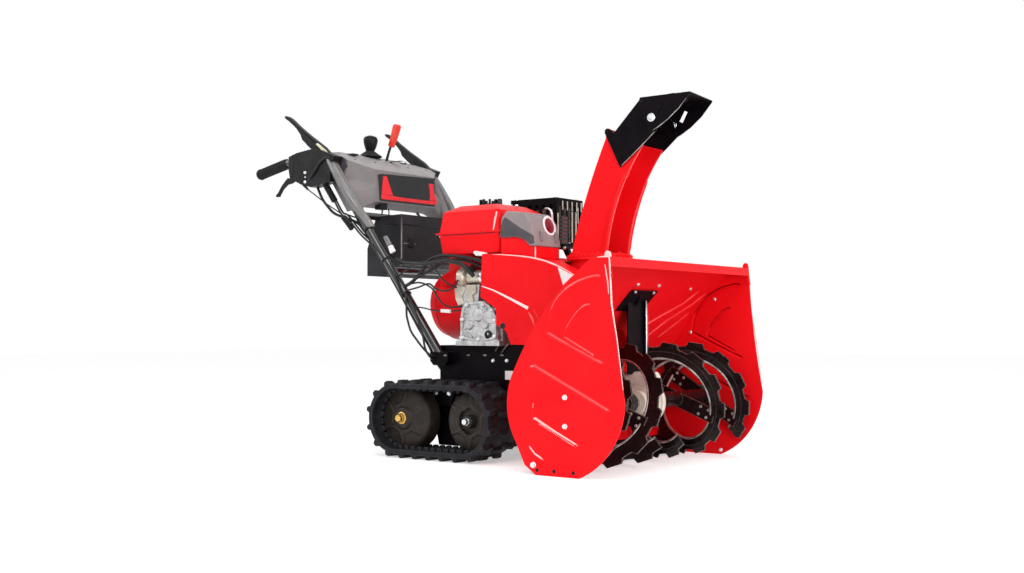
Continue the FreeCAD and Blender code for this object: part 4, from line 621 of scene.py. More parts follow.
def slab(name, corners_mm, depth_mm, material=None, slot="", width=0.8, segments=2, body="machine",
        stands_for=()):
    """A cut plate: corners in order, pushed along depth, with rounded edges."""
    build = bmesh.new()
    depth = Vector(depth_mm) * MM
    near = [build.verts.new(Vector(c) * MM) for c in corners_mm]
    far = [build.verts.new(v.co + depth) for v in near]
    build.faces.new(near)
    build.faces.new(list(reversed(far)))
    for i, v in enumerate(near):
        after = (i + 1) % len(near)
        build.faces.new((v, far[i], far[after], near[after]))
    bmesh.ops.recalc_face_normals(build, faces=build.faces)
    made = rounded(from_build(build, name), width, segments)
    return settle(made, material, body, stands_for) if slot else made


def turned_part(name, profile_mm, centre_mm=(0, 0, 0), axis=UP, steps=32, material=None, slot="",
        body="machine", stands_for=()):
    """A part turned about an axis, from (radius, height) pairs that start and end on it."""
    build = bmesh.new()
    rings = []
    for radius, height in profile_mm:
        if radius < 0.001:
            rings.append([build.verts.new((0, 0, height * MM))])
        else:
            rings.append([build.verts.new((x, y, height * MM)) for x, y in ring_points(steps, radius * MM)])
    for low, high in zip(rings, rings[1:]):
        for i in range(steps):
            after = (i + 1) % steps
            corners = [low[i % len(low)], low[after % len(low)], high[after % len(high)],
                high[i % len(high)]]
            corners = list(dict.fromkeys(corners))
            if len(corners) > 2:
                build.faces.new(corners)
    bmesh.ops.recalc_face_normals(build, faces=build.faces)
    turn = Vector(axis).to_track_quat("Z", "X").to_matrix().to_4x4()
    bmesh.ops.transform(build, matrix=Matrix.Translation(Vector(centre_mm) * MM) @ turn, verts=build.verts)
    made = from_build(build, name)
    made.data.shade_smooth()
    made.data.set_sharp_from_angle(angle=SMOOTH_UNDER)
    return settle(made, material, body, stands_for) if slot else made


def bolt_piece(name, across, head, flange):
    """A flanged hexagon bolt head, its foot at the origin and its axis along Z."""
    build = bmesh.new()
    corner = across / math.sqrt(3.0)
    outlines = [(ring_points(24, flange), 0.0), (ring_points(24, flange), 0.12 * head),
        (ring_points(24, 1.02 * corner), 0.3 * head)]
    hexagon = [(ring_points(6, corner), 0.3 * head), (ring_points(6, corner), 0.86 * head),
        (ring_points(6, 0.84 * corner), head)]
    for group in (outlines, hexagon):
        rings = [[build.verts.new((x * MM, y * MM, z * MM)) for x, y in ring] for ring, z in group]
        for low, high in zip(rings, rings[1:]):
            for i in range(len(low)):
                after = (i + 1) % len(low)
                build.faces.new((low[i], low[after], high[after], high[i]))
        build.faces.new(rings[-1])
        build.faces.new(list(reversed(rings[0])))
    bmesh.ops.recalc_face_normals(build, faces=build.faces)
    return from_build(build, name, False)


def dome_piece(name, radius, height):
    """A low domed rivet head, its foot at the origin and its axis along Z."""
    return pattern(turned_part(name, [(0, 0), (radius, 0), (radius, 0.25 * height),
        (0.86 * radius, 0.62 * height), (0.5 * radius, 0.92 * height), (0, height)], steps=16))


def pattern(thing):
    """Take a piece out of the scene, so that only its copies show."""
    bpy.context.scene.collection.objects.unlink(thing)
    PROTOTYPES.append(thing)
    return thing


SMALL_BOLT = bolt_piece("SmallBolt", 10.0, 5.0, 6.6)
LARGE_BOLT = bolt_piece("LargeBolt", 13.0, 6.0, 8.6)
PROTOTYPES = [ROUND, ROUND_FINE, PRESSED, FOLD, SMALL_BOLT, LARGE_BOLT]
RIVET = dome_piece("Rivet", 5.0, 3.0)
print("bolt faces", len(SMALL_BOLT.data.polygons), "rivet faces", len(RIVET.data.polygons))


# %% Finding the surface to lay things on
def surface_of(node):
    """A CAD node as a tree that rays can be cast against."""
    build = bmesh.new()
    build.from_mesh(frame["nodes"][node].data)
    tree = BVHTree.FromBMesh(build)
    build.free()
    return tree


def laid_on(tree, start_mm, way):
    """Where a ray from a point meets the surface, and which way the surface faces."""
    place, normal, _, _ = tree.ray_cast(Vector(start_mm) * MM, Vector(way))
    if place is None:
        raise ValueError("nothing is met from " + str(start_mm))
    if normal.dot(Vector(way)) > 0.0:
        normal = -normal
    return place / MM, normal


def stepped(points_mm, step=10.0):
    """The same open line with points about every step."""
    out = []
    for a, b in zip(points_mm, points_mm[1:]):
        a, b = Vector(a), Vector(b)
        parts = max(1, int(round((b - a).length / step)))
        out += [a.lerp(b, i / parts) for i in range(parts)]
    return out + [Vector(points_mm[-1])]


def tapered(count, thickness, ends=2):
    """A list of thicknesses that runs out at both ends."""
    return [thickness * min(1.0, 0.12 + 0.88 * min(i, count - 1 - i) / ends) for i in range(count)]

# %% [markdown]
# ## Side plates with pressed beads
# Each side plate is a 2 mm sheet stiffened by beads that a press forms outward, so the same bead
# stands proud outside and is a groove inside. A strip laid on a flat plate would only be right
# from one side. Instead the sheet is meshed again from its own outline, with rows of points along
# every bead, and each point is moved out by the bead's rounded height. The upper flanks of the
# beads are painted lighter as their highlight, and the faces inside behind them dark red as the
# painted shade of the grooves.

# %% Outline of a flat CAD part
SAME_WAY = 0.999


def flat_outline(node, way, keep_axes):
    """Points and edges, in mm, of the outline of a CAD node's face that looks the given way."""
    build = welded(node)
    build.normal_update()
    faces = {face for face in build.faces if face.normal.dot(Vector(way)) > SAME_WAY}
    border = [edge for edge in build.edges if len(faces.intersection(edge.link_faces)) == 1]
    order, points_2d, edges = {}, [], []
    for edge in border:
        for vert in edge.verts:
            if vert.index not in order:
                order[vert.index] = len(points_2d)
                points_2d.append(tuple(vert.co[axis] / MM for axis in keep_axes))
        edges.append(tuple(order[vert.index] for vert in edge.verts))
    build.free()
    return points_2d, edges


plate_points, plate_edges = flat_outline("side_plate_right", RIGHT, (0, 2))
print("side plate outline points", len(plate_points))

# %% Easing a line's corners
def eased(corners, pieces=6):
    """The same line with its corners eased: a smooth curve through every corner."""
    ends = [corners[0]] + list(corners) + [corners[-1]]
    made = []
    for before, start, stop, after in zip(ends, ends[1:], ends[2:], ends[3:]):
        for number in range(pieces):
            t = number / pieces
            made.append(tuple(0.5 * (2 * b + (c - a) * t + (2 * a - 5 * b + 4 * c - d) * t * t
                + (3 * b - a - 3 * c + d) * t ** 3) for a, b, c, d in zip(before, start, stop, after)))
    return made + [corners[-1]]


# %% The beads, as (x, z) lines in mm with their half width and the painted highlight of their upper flank: 1 lighter gloss red, 2 pale pink
PLATE_BEADS = [
    (eased([(722, 536), (700, 537), (647, 523), (592, 490), (562, 446), (547, 388)])
     + [(576, 373), (655, 337), (733, 303)], 6.5, 1),
    (eased([(690, 462), (673, 461), (647, 443), (618, 408), (604, 376)]) + [(655, 350), (706, 324)], 5.0, 1),
    ([(487, 293), (506, 294), (636, 233), (752, 178)], 7.5, 1),
    ([(501, 196), (501, 154), (574, 117), (648, 83)], 7.0, 2),
    ([(484, 80), (496, 66), (507, 55), (536, 40)], 5.0, 2),
    ([(520, 140), (580, 111), (646, 80)], 4.0, 2),
]
BEAD_RISE = 0.42
SHEET = 2.0
HIGHLIGHT_FLANK_Z = 0.22
# Dark red painted shade for the grooves on the inside of the plates.
PAINTED_GROOVE_SHADE = finish("GrooveRed", (0.30, 0.001, 0.004), (0.40, 0.002, 0.006), 40, (0.35, 0.5), 3.0, 0.008,
    gloss=0.1)
PLATE_FINISHES = (PAINT_RED, PAINTED_RED_HIGHLIGHT, PAINTED_PINK_HIGHLIGHT, PAINTED_GROOVE_SHADE)


def bead_height(distance, half_width):
    """Height of a rounded bead at a distance from its middle line."""
    share = min(1.0, distance / half_width)
    return BEAD_RISE * half_width * (0.5 + 0.5 * math.cos(math.pi * share))


print("beads", len(PLATE_BEADS))

# %% Rows of points along and across the beads
CLEAR_SHARE = 0.45
HIGHLIGHT_ABOVE = 0.3
SHADED_GROOVE_INDEX = 3
ACROSS = (-1.0, -0.72, -0.45, -0.2, 0.0, 0.2, 0.45, 0.72, 1.0)


def bead_rows(lines, step=6.0):
    """Points (x, z), heights and painted highlight levels: rows across every bead, running out at its ends.
    """
    spots = []
    for corners, half_width, bright in lines:
        row = [Vector(p[:2]) for p in stepped(on_z(0, corners), step)]
        for i, middle in enumerate(row):
            ahead = row[min(i + 1, len(row) - 1)] - row[max(i - 1, 0)]
            side = Vector((-ahead.y, ahead.x)).normalized()
            run_out = min(1.0, min(i, len(row) - 1 - i) / 2.0)
            for share in ACROSS:
                place = middle + side * share * half_width
                spots.append((place.x, place.y, run_out * bead_height(abs(share) * half_width, half_width),
                    bright))
    return spots


def pressed_sheet(name, outline, edges, beads, to_space, thickness_way, field_step=24.0):
    """A sheet filled inside its outline, moved out along its beads and given its thickness."""
    spots = [(x, z, 0.0, 0) for x, z in outline]
    rows = bead_rows(beads)
    taken = [Vector((x, z)) for x, z, _, _ in rows] + [Vector(p) for p in outline]
    low_x, high_x = min(p[0] for p in outline), max(p[0] for p in outline)
    low_z, high_z = min(p[1] for p in outline), max(p[1] for p in outline)
    for i in range(int((high_x - low_x) / field_step) + 1):
        for j in range(int((high_z - low_z) / field_step) + 1):
            spot = Vector((low_x + (i + 0.5) * field_step, low_z + (j + 0.5) * field_step))
            if min((spot - other).length for other in taken) > CLEAR_SHARE * field_step:
                rows.append((spot.x, spot.y, 0.0, 0))
    spots += rows
    made_points, _, made_faces, origin, _, _ = delaunay_2d_cdt([Vector(s[:2]) for s in spots], edges, [], 2,
        0.01)
    build = bmesh.new()
    verts, heights, highlight_levels = [], [], []
    for point, sources in zip(made_points, origin):
        heights.append(max([spots[i][2] for i in sources], default=0.0))
        highlight_levels.append(max([spots[i][3] for i in sources], default=0))
        verts.append(build.verts.new(Vector(to_space(point.x, point.y, heights[-1])) * MM))
    for corners in made_faces:
        face = build.faces.new([verts[i] for i in corners])
        # Faces high on a bead take its painted highlight finish.
        if max(heights[i] for i in corners) > HIGHLIGHT_ABOVE:
            face.material_index = max(highlight_levels[i] for i in corners)
    bmesh.ops.recalc_face_normals(build, faces=build.faces)
    build.normal_update()
    # Only the upper flanks, which face the lamps, keep the painted highlight.
    for face in build.faces:
        if face.material_index and face.normal.z < HIGHLIGHT_FLANK_Z:
            face.material_index = 0
    outer_faces = build.faces[:]
    rim = bmesh.ops.extrude_face_region(build, geom=outer_faces)
    moved = [item for item in rim["geom"] if isinstance(item, bmesh.types.BMVert)]
    bmesh.ops.translate(build, verts=moved, vec=Vector(thickness_way) * MM)
    bmesh.ops.recalc_face_normals(build, faces=build.faces)
    build.normal_update()
    # Inside the sheet, the faces behind the lit flanks take the dark red painted shade of a groove.
    for face in build.faces:
        if face.material_index and face.normal.dot(Vector(thickness_way)) > 0.0:
            face.material_index = SHADED_GROOVE_INDEX
    made = from_build(build, name)
    for item in PLATE_FINISHES:
        made.data.materials.append(item)
    return made


# %% Both side plates
PLATE_FACE_Y = 408.0
WIDEST_BEAD = 7.5
field_y = PLATE_FACE_Y - BEAD_RISE * WIDEST_BEAD
for side, node in ((-1, "side_plate_right"), (1, "side_plate_left")):
    sheet = pressed_sheet(node + "_pressed", plate_points, plate_edges, PLATE_BEADS,
        lambda x, z, rise: (x, side * (field_y + rise), z), (0, -side * SHEET, 0))
    sheet = rounded(sheet, 0.5, 2, 50.0)
    settle(sheet, PLATE_FINISHES, "machine", [node])
    print(sheet.name, len(sheet.data.polygons), "faces")

# %% [markdown]
# ## Beads on the rear wall
# The rear wall is rolled to a curve, so its beads are swept strips laid on it: rays cast backward
# from the mouth find where each point of a bead lies and which way the wall faces there.

# %% Wall beads
wall = surface_of("auger_housing")
MOUTH_X = 735
WALL_BEADS = [[(119, 365), (156, 410), (293, 477), (330, 520)], [(279, 370), (330, 408), (378, 450)],
    [(206, 372), (262, 418), (352, 474), (385, 512)], [(196, 372), (160, 340)]]
strips = []
for bead in WALL_BEADS:
    for side in (-1, 1):
        spots = [laid_on(wall, (MOUTH_X, side * p.x, p.y), BACK) for p in stepped(on_z(0, bead), 9.0)]
        strips.append(([p for p, _ in spots], tapered(len(spots), 7.5), [n for _, n in spots]))
# The wall beads are swept in the lighter gloss red, a painted highlight along them.
sweep("wall_beads", strips, PRESSED, PAINTED_RED_HIGHLIGHT)
print("wall beads", len(strips), "strips")

# %% [markdown]
# ## Bolts of the housing
# The bearing plates, the stay and the shoes are bolted through the side plates with bright zinc
# flange bolts. Their heads are outside and their nuts inside, and the copying tree turns each one
# a little differently.

# %% Housing bolts
plate_bolts = []
for side in (-1, 1):
    outside = side * (field_y - 0.2)
    inside = side * (field_y - SHEET + 0.2)
    for x, z, size in ((606, 215, 0.9), (606, 137, 0.9), (501, 27, 1.05)):
        plate_bolts.append(((x, outside, z), (0, side, 0), size))
    for x, z in ((630, 494), (542, 388), (650, 14)):
        plate_bolts.append(((x, inside, z), (0, -side, 0), 0.72))
for y, z in ((262, 523), (-262, 523), (60, 528), (-60, 528)):
    place, normal = laid_on(wall, (MOUTH_X, y, z), BACK)
    plate_bolts.append((place, normal, 0.7))
for y in (-380, -130, 130, 380):
    plate_bolts.append(((700, y, 589.6), UP, (0.7, 0.7, 0.08)))
place_copies("housing_bolts", LARGE_BOLT, plate_bolts, BRIGHT_ZINC)
print("housing bolts", len(plate_bolts))

# %% [markdown]
# ## Folded edges of the housing
# The foot of each side plate is doubled by a wear strip, and its front corner has a small folded
# tab that carries the top flange. Both are cut plates with their edges rounded.

# %% Wear strips and corner tabs
foot_y = field_y - 0.2
for side, word in SIDES:
    slab("foot_strip_" + word, on_y(side * foot_y, [(506, 1.5), (480, 30), (486, 33), (521, 17), (672, 17),
        (650, 1.5)]), (0, side * 1.4, 0), PAINT_RED, "red_paint")
    slab("corner_tab_" + word, on_y(side * 400, [(733, 583), (750, 583), (757, 536), (748, 541),
        (741, 560)]), (0, side * 6.2, 0), PAINT_RED, "red_paint")
place_copies("shoe_hole_rims", RIVET, [((x, side * (field_y + 1.0), 14), (0, side, 0), (1.1, 1.1, 0.2))
    for side in (-1, 1) for x in (514.5, 571, 634)], BLACK_MOULDING)
# The folded corner of the right plate is painted pale pink as its glint; the left one stays red.
for side, word in SIDES:
    slab("corner_fold_" + word, on_y(side * 396, [(732, 590), (752, 590), (749, 603), (742, 607),
        (735, 603)]), (0, side * 9.0, 0), PAINTED_PINK_HIGHLIGHT if side < 0 else PAINT_RED, "red_paint", 1.6)
# Pale pink lines painted along the plates' front edges and top corners as their highlight.
front_rim = [(751, 589), (755, 528), (758, 466), (765, 423), (773, 382), (785, 299), (793, 240)]
rim_lines = []
for side in (-1, 1):
    rim_lines.append((
        [(x - 1.6, side * (field_y + 0.3), z) for x, z in front_rim],
        [1.7, 2.1, 2.0, 1.7, 1.3, 1.0, 0.6],
        (0, side, 0)))
    rim_lines.append((on_y(side * (field_y + 0.3), ((712, 589.6), (726, 590.6), (740, 590.6),
        (750, 589.4))), [0.7, 1.6, 1.8, 1.2], (0, side, 0)))
    rim_lines.append((on_y(side * (field_y + 0.3), ((736, 570), (740, 548), (745, 520), (747, 492))),
        [0.8, 1.6, 1.5, 0.7], (0, side, 0)))
sweep("plate_front_lines", rim_lines, FOLD, PAINTED_PINK_HIGHLIGHT)
print("strips, tabs and front rims done")

# %% [markdown]
# ## Augers
# The augers are black-enamelled ribbons whose inner edge is rolled over a rod, and snow polishes
# that rod bright. The rod follows the same helix as the ribbon, so it is a swept tube. The arms
# that carry the ribbons are bolted on, and so is a sleeve beside the gearbox.

# %% Rolled inner edges
AUGER_X, AUGER_Z = 604.0, 184.0
RIBBON_INNER, RIBBON_OUTER = 125.0, 161.0
RIBBON_FIRST_Y, RIBBON_LAST_Y = 65.0, 390.0
RIBBON_END = -50.0


def helix_point(start, share, radius, side, lift=0.0):
    """A point of a ribbon: share 0 is at the gearbox and 1 at the side plate."""
    angle = math.radians(start - 360.0 * share)
    y = RIBBON_FIRST_Y + (RIBBON_LAST_Y - RIBBON_FIRST_Y) * share + lift
    return Vector((AUGER_X + radius * math.cos(angle), side * y, AUGER_Z + radius * math.sin(angle)))


for side, word in SIDES:
    rods, seams = [], []
    for start in (RIBBON_END + 360.0, RIBBON_END + 180.0):
        shares = [i / 72.0 for i in range(73)]
        rods.append(([helix_point(start, s, RIBBON_INNER + 1.0, side) for s in shares], 4.2, (0, side, 0)))
        seams.append(([helix_point(start, s, RIBBON_OUTER - 14.0, side, -3.4) for s in shares], 1.6,
            (0, side, 0)))
    rod = sweep("auger_rod_" + word, rods, ROUND, WORN_STEEL, body="auger")
    sweep("auger_seam_" + word, seams, ROUND, AUGER_ENAMEL, body="auger")
print("auger rods", len(rod.data.polygons), "faces a side")

# %% Arm bolts and hub sleeves
arm_bolts = []
for side in (-1, 1):
    for start in (RIBBON_END + 360.0, RIBBON_END + 180.0):
        for share in (0.42, 0.95):
            angle = math.radians(start - 360.0 * share)
            out = Vector((math.cos(angle), 0.0, math.sin(angle)))
            over = Vector((-out.z, 0.0, out.x))
            y = RIBBON_FIRST_Y + (RIBBON_LAST_Y - RIBBON_FIRST_Y) * share
            for reach, offset in ((116, 12), (116, -12), (88, 12), (88, -12)):
                spot = Vector((AUGER_X, 0, AUGER_Z)) + out * reach + over * offset
                for face_side in (-1, 1):
                    arm_bolts.append(((spot.x, side * y + face_side * 4.0, spot.z), (0, face_side, 0),
                        0.72))
    for turn in range(2):
        angle = math.radians(65.0 + 180.0 * turn)
        arm_bolts.append(((AUGER_X + 29.5 * math.cos(angle), side * 88, AUGER_Z + 29.5 * math.sin(angle)),
            (math.cos(angle), 0, math.sin(angle)), 1.0))
place_copies("auger_bolts", SMALL_BOLT, arm_bolts, WORN_STEEL, body="auger")
for side, word in SIDES:
    turned_part("auger_sleeve_" + word, [(24.2, 0), (29, 0), (30.5, 2), (30.5, 34), (29, 36), (24.2, 36),
        (24.2, 0)], (AUGER_X, side * 70, AUGER_Z), (0, side, 0), 36, AUGER_ENAMEL, "auger_black",
        body="auger")
print("auger bolts", len(arm_bolts))

# %% [markdown]
# ## Gearbox and its stay
# The gearbox is a pale casting with a bolted flange, and the stay above it is a folded black
# bracket, with a bright steel strip along its edge standing in for its highlight.

# %% Gearbox flange bolts and the stay's folded edge
FLANGE_BOLT_RADIUS = 66
flange_bolts = []
for turn in range(6):
    angle = math.radians(30.0 + 60.0 * turn)
    x, z = AUGER_X + FLANGE_BOLT_RADIUS * math.cos(angle), AUGER_Z + FLANGE_BOLT_RADIUS * math.sin(angle)
    flange_bolts += [((x, 6.0, z), LEFT, 0.85), ((x, -6.0, z), RIGHT, 0.85)]
place_copies("gearbox_bolts", SMALL_BOLT, flange_bolts, BRIGHT_ZINC)
stay_low, stay_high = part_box("gearbox_stay")
slab("stay_fold", on_y(41, [(578, 268), (578, 496), (581, 499), (592, 494), (592, 268)]), (0, 3.2, 0),
    PAINT_BLACK, "black_paint", 0.9)
# A bright steel strip along the stay's edge, a painted highlight for the lit edge.
sweep("stay_bare_edge", [([(588, 48, 268), (588, 49, 340), (588, 49, 430), (587, 48, 486), (583, 42, 497)],
    [2.6, 4.6, 4.6, 3.4, 2.0], AHEAD)], FOLD, SHAFT_STEEL, 6.0)
slab("stay_gusset", on_y(-6, [(583, 498), (583, 462), (600, 488), (606, 500)]), (0, 12, 0), PAINT_BLACK,
    "black_paint", 1.0)
bracket_bolt_spots = []
for y in (-52, 52):
    place, normal, _, _ = surface_of("gearbox_stay").ray_cast(Vector((760, y, 470)) * MM,
        Vector((-0.8, 0, 0.2)).normalized())
    if place is not None:
        bracket_bolt_spots.append((tuple(place / MM), tuple(normal if normal.x > 0 else -normal), 0.8))
if bracket_bolt_spots:
    place_copies("stay_bolts", SMALL_BOLT, bracket_bolt_spots, BRIGHT_ZINC)
print("stay from", short(stay_low), "to", short(stay_high))

# %% [markdown]
# ## Rubber tracks
# A rubber track is one moulded loop: a flat belt with a thicker rail along each edge, a row of
# guide teeth inside that keeps the wheels in line, and staggered lugs outside that grip the snow.
# The belt is a profile swept round the loop. Lugs and teeth repeat, so the copying tree sets them
# along the same loop.

# %% The loop that the belt follows
WHEEL_Z = 121.0
DRIVE_X, IDLER_X = 160.0, -103.0
PITCH_RADIUS = 104.5
LUGS = 22


def loop_spot(share):
    """A point of the loop, its outward way and its running way; share runs from 0 to 1."""
    base, half_turn = DRIVE_X - IDLER_X, math.pi * PITCH_RADIUS
    total = 2.0 * (base + half_turn)
    run = (share % 1.0) * total
    if run < base:
        return Vector((DRIVE_X - run, 0, WHEEL_Z + PITCH_RADIUS)), Vector(UP), Vector(BACK)
    run -= base
    if run < half_turn:
        angle = math.pi / 2 + run / PITCH_RADIUS
        centre = IDLER_X
    else:
        run -= half_turn
        if run < base:
            return Vector((IDLER_X + run, 0, WHEEL_Z - PITCH_RADIUS)), Vector(DOWN), Vector(AHEAD)
        angle = -math.pi / 2 + (run - base) / PITCH_RADIUS
        centre = DRIVE_X
    out = Vector((math.cos(angle), 0, math.sin(angle)))
    return Vector((centre, 0, WHEEL_Z)) + PITCH_RADIUS * out, out, Vector((-out.z, 0, out.x))


print("loop starts at", tuple(round(v) for v in loop_spot(0.0)[0]))

# %% Belt, lug and guide tooth
BELT_HALF = 76.0
belt_section = [(4.5, -71), (4.5, 71), (2.5, 75), (-3, 76), (-10, 75), (-11, 72), (-11, 66), (-9.5, 64),
    (-4.5, 62), (-4.5, -62), (-9.5, -64), (-11, -66), (-11, -72), (-10, -75), (-3, -76), (2.5, -75)]
BELT_PROFILE = outline_mesh("BeltProfile", [(x * MM, y * MM) for x, y in belt_section])


def lofted_bar(name, stations):
    """A moulded bar across the belt from stations (across, forward, length, height, foot), Z outward."""
    build = bmesh.new()
    rows = []
    for across, forward, length, height, foot in stations:
        tip = 0.6 * length
        corners = [(forward - length / 2, foot), (forward - tip / 2, foot + 0.9 * height),
            (forward - tip / 3, foot + height), (forward + tip / 3, foot + height),
            (forward + tip / 2, foot + 0.9 * height), (forward + length / 2, foot)]
        rows.append([build.verts.new((x * MM, across * MM, z * MM)) for x, z in corners])
    for low, high in zip(rows, rows[1:]):
        for i in range(len(low)):
            after = (i + 1) % len(low)
            build.faces.new((low[i], low[after], high[after], high[i]))
    build.faces.new(rows[0])
    build.faces.new(list(reversed(rows[-1])))
    bmesh.ops.recalc_face_normals(build, faces=build.faces)
    return from_build(build, name, False)


LUG = lofted_bar("TrackLug", [(-76, 0, 19, 10.5, 3), (-72, 0, 22, 12, 4), (-48, 2, 20, 12, 4),
    (-34, 8, 17, 11, 4), (-28, 8, 15, 5, 4), (-24, -6, 15, 5, 4), (-18, -8, 17, 11, 4), (18, -8, 17, 11, 4),
    (24, -6, 15, 5, 4), (28, 8, 15, 5, 4), (34, 8, 17, 11, 4), (48, 2, 20, 12, 4), (72, 0, 22, 12, 4),
    (76, 0, 19, 10.5, 3)])
GUIDE_TOOTH = lofted_bar("GuideTooth", [(-7, 0, 22, 12, 4), (-5, 0, 25, 15, 4), (5, 0, 25, 15, 4),
    (7, 0, 22, 12, 4)])
PROTOTYPES += [BELT_PROFILE, LUG, GUIDE_TOOTH]
print("made", BELT_PROFILE.name, LUG.name, "and", GUIDE_TOOTH.name)

# %% Both tracks
LOOP_STEPS = 132
BELT_INNER_Y = 158.0
TOOTH_ROWS = (30.0, -46.0)
for side, word in SIDES:
    middle = side * (BELT_INNER_Y + BELT_HALF)
    rounds = [loop_spot(i / LOOP_STEPS) for i in range(LOOP_STEPS)]
    belt = sweep("track_belt_" + word, [([p + Vector((0, middle, 0)) for p, _, _ in rounds], 1.0 / MM,
        [out for _, out, _ in rounds])], BELT_PROFILE, TRACK_RUBBER, loop=True,
        body="tracks", stands_for=["track_" + word])
    lug_spots, tooth_spots = [], []
    for number in range(LUGS):
        spot, out, ahead = loop_spot((number + 0.5) / LUGS)
        lug_spots.append((spot + Vector((0, middle, 0)), out, 1.0, ahead))
        for half in (0.25, 0.75):
            spot, out, ahead = loop_spot((number + half) / LUGS)
            for row in TOOTH_ROWS:
                tooth_spots.append((spot + Vector((0, middle + side * row, 0)), -out, 1.0, ahead))
    lugs = place_copies("track_lugs_" + word, LUG, lug_spots, TRACK_RUBBER, spin=0.0,
        body="tracks")
    teeth = place_copies("track_teeth_" + word, GUIDE_TOOTH, tooth_spots, TRACK_RUBBER,
        spin=0.0, body="tracks")
print("track faces a side", len(belt.data.polygons) + len(lugs.data.polygons) + len(teeth.data.polygons))

# %% [markdown]
# ## Wheels
# Both wheels are moulded nylon discs. The idler is plain at its rim, and the drive wheel has a
# smaller disc in front of a row of chunky sprocket teeth. A star-shaped rib is moulded into both
# faces, and a zinc nut holds each wheel. The star is laid on the disc with rays.

# %% Discs, star ribs, nuts and sprocket teeth
IDLER_DISC = [(0, 200), (96, 200), (100, 204), (100, 247), (98, 253), (93, 257), (84, 258.5), (60, 262),
    (38, 265), (34, 270), (31, 273), (24, 274), (0, 274)]
DRIVE_DISC = [(0, 206), (84, 206), (88, 210), (90, 250), (88, 254), (82, 257), (60, 261), (47, 264),
    (44, 264), (41, 262), (39, 252), (22, 252), (20, 270), (17, 274), (0, 274)]
STAR_POINTS = 6
SPROCKET_TEETH, TOOTH_CIRCLE = 12, 86.0
OUTSIDE_Y = 400


def star_line(centre_x, start_angle):
    """The star rib as (x, z) corners: narrow points and wide hollows."""
    corners = []
    for number in range(STAR_POINTS):
        for angle, radius in ((0, 84), (13, 49), (30, 45), (47, 49)):
            turn = math.radians(start_angle + 60.0 * number + angle)
            corners.append((centre_x + radius * math.cos(turn), 0, WHEEL_Z + radius * math.sin(turn)))
    return corners + corners[:1]


TOOTH = lofted_bar("SprocketTooth", [(-11, 0, 22, 13, -3), (-9, 0, 26, 15.5, -3), (9, 0, 26, 15.5, -3),
    (11, 0, 22, 13, -3)])
PROTOTYPES.append(TOOTH)
for side, word in SIDES:
    for wheel, centre_x, profile, node in (("idler", IDLER_X, IDLER_DISC, "idler_wheels"),
            ("drive", DRIVE_X, DRIVE_DISC, "drive_wheels")):
        disc = turned_part(wheel + "_disc_" + word, profile, (centre_x, 0, WHEEL_Z), (0, side, 0), 64,
            WHEEL_MOULDING, "wheel_plastic", body="tracks", stands_for=[node])
        build = bmesh.new()
        build.from_mesh(disc.data)
        disc_tree = BVHTree.FromBMesh(build)
        build.free()
        first = -95.0 if wheel == "idler" else -92.0
        spots = [laid_on(disc_tree, (p.x, side * OUTSIDE_Y, p.z), (0, -side, 0))
            for p in stepped(star_line(centre_x, first), 5.0)]
        sweep(wheel + "_star_" + word, [([p for p, _ in spots], 8.0, [n for _, n in spots])], PRESSED,
            WHEEL_MOULDING, body="tracks")
    turned_part("idler_washer_" + word, [(0, 272), (19, 272), (19, 275.5), (17.5, 276.5), (0, 276.5)],
        (IDLER_X, 0, WHEEL_Z), (0, side, 0), 28, YELLOW_ZINC, "steel", body="tracks")
nut_spots = [((IDLER_X, side * 275, WHEEL_Z), (0, side, 0), (1.75, 1.75, 2.9), AHEAD) for side in (-1, 1)]
place_copies("idler_nuts", LARGE_BOLT, nut_spots, YELLOW_ZINC, body="tracks")
nut_spots = [((DRIVE_X, side * 273, WHEEL_Z), (0, side, 0), (1.4, 1.4, 2.6), AHEAD) for side in (-1, 1)]
place_copies("drive_nuts", LARGE_BOLT, nut_spots, BRIGHT_ZINC, body="tracks")
tooth_spots = []
for side in (-1, 1):
    for number in range(SPROCKET_TEETH):
        turn = math.radians(30.0 * number + 15.0)
        out = Vector((math.cos(turn), 0, math.sin(turn)))
        tooth_spots.append((Vector((DRIVE_X, side * 232, WHEEL_Z)) + TOOTH_CIRCLE * out, out, 1.0,
            (-out.z, 0, out.x)))
place_copies("sprocket_teeth", TOOTH, tooth_spots, WHEEL_MOULDING, spin=0.0, body="tracks")
sweep("wheel_axles", [([(x, -230, WHEEL_Z), (x, 230, WHEEL_Z)], 14.0, UP) for x in (DRIVE_X, IDLER_X)],
    ROUND_FINE, PAINT_BLACK, body="tracks")
print("wheels done, sprocket teeth", len(tooth_spots))

# %% [markdown]
# ## Engine castings
# The crankcase cover is a sand casting: ribs, bosses and bolt heads stand on it, and its rim is
# thicker than its middle. The starter sits on two cast brackets above it. Ribs are swept along
# their lines, bosses are turned parts, and the copying tree sets the bosses and their bolts.

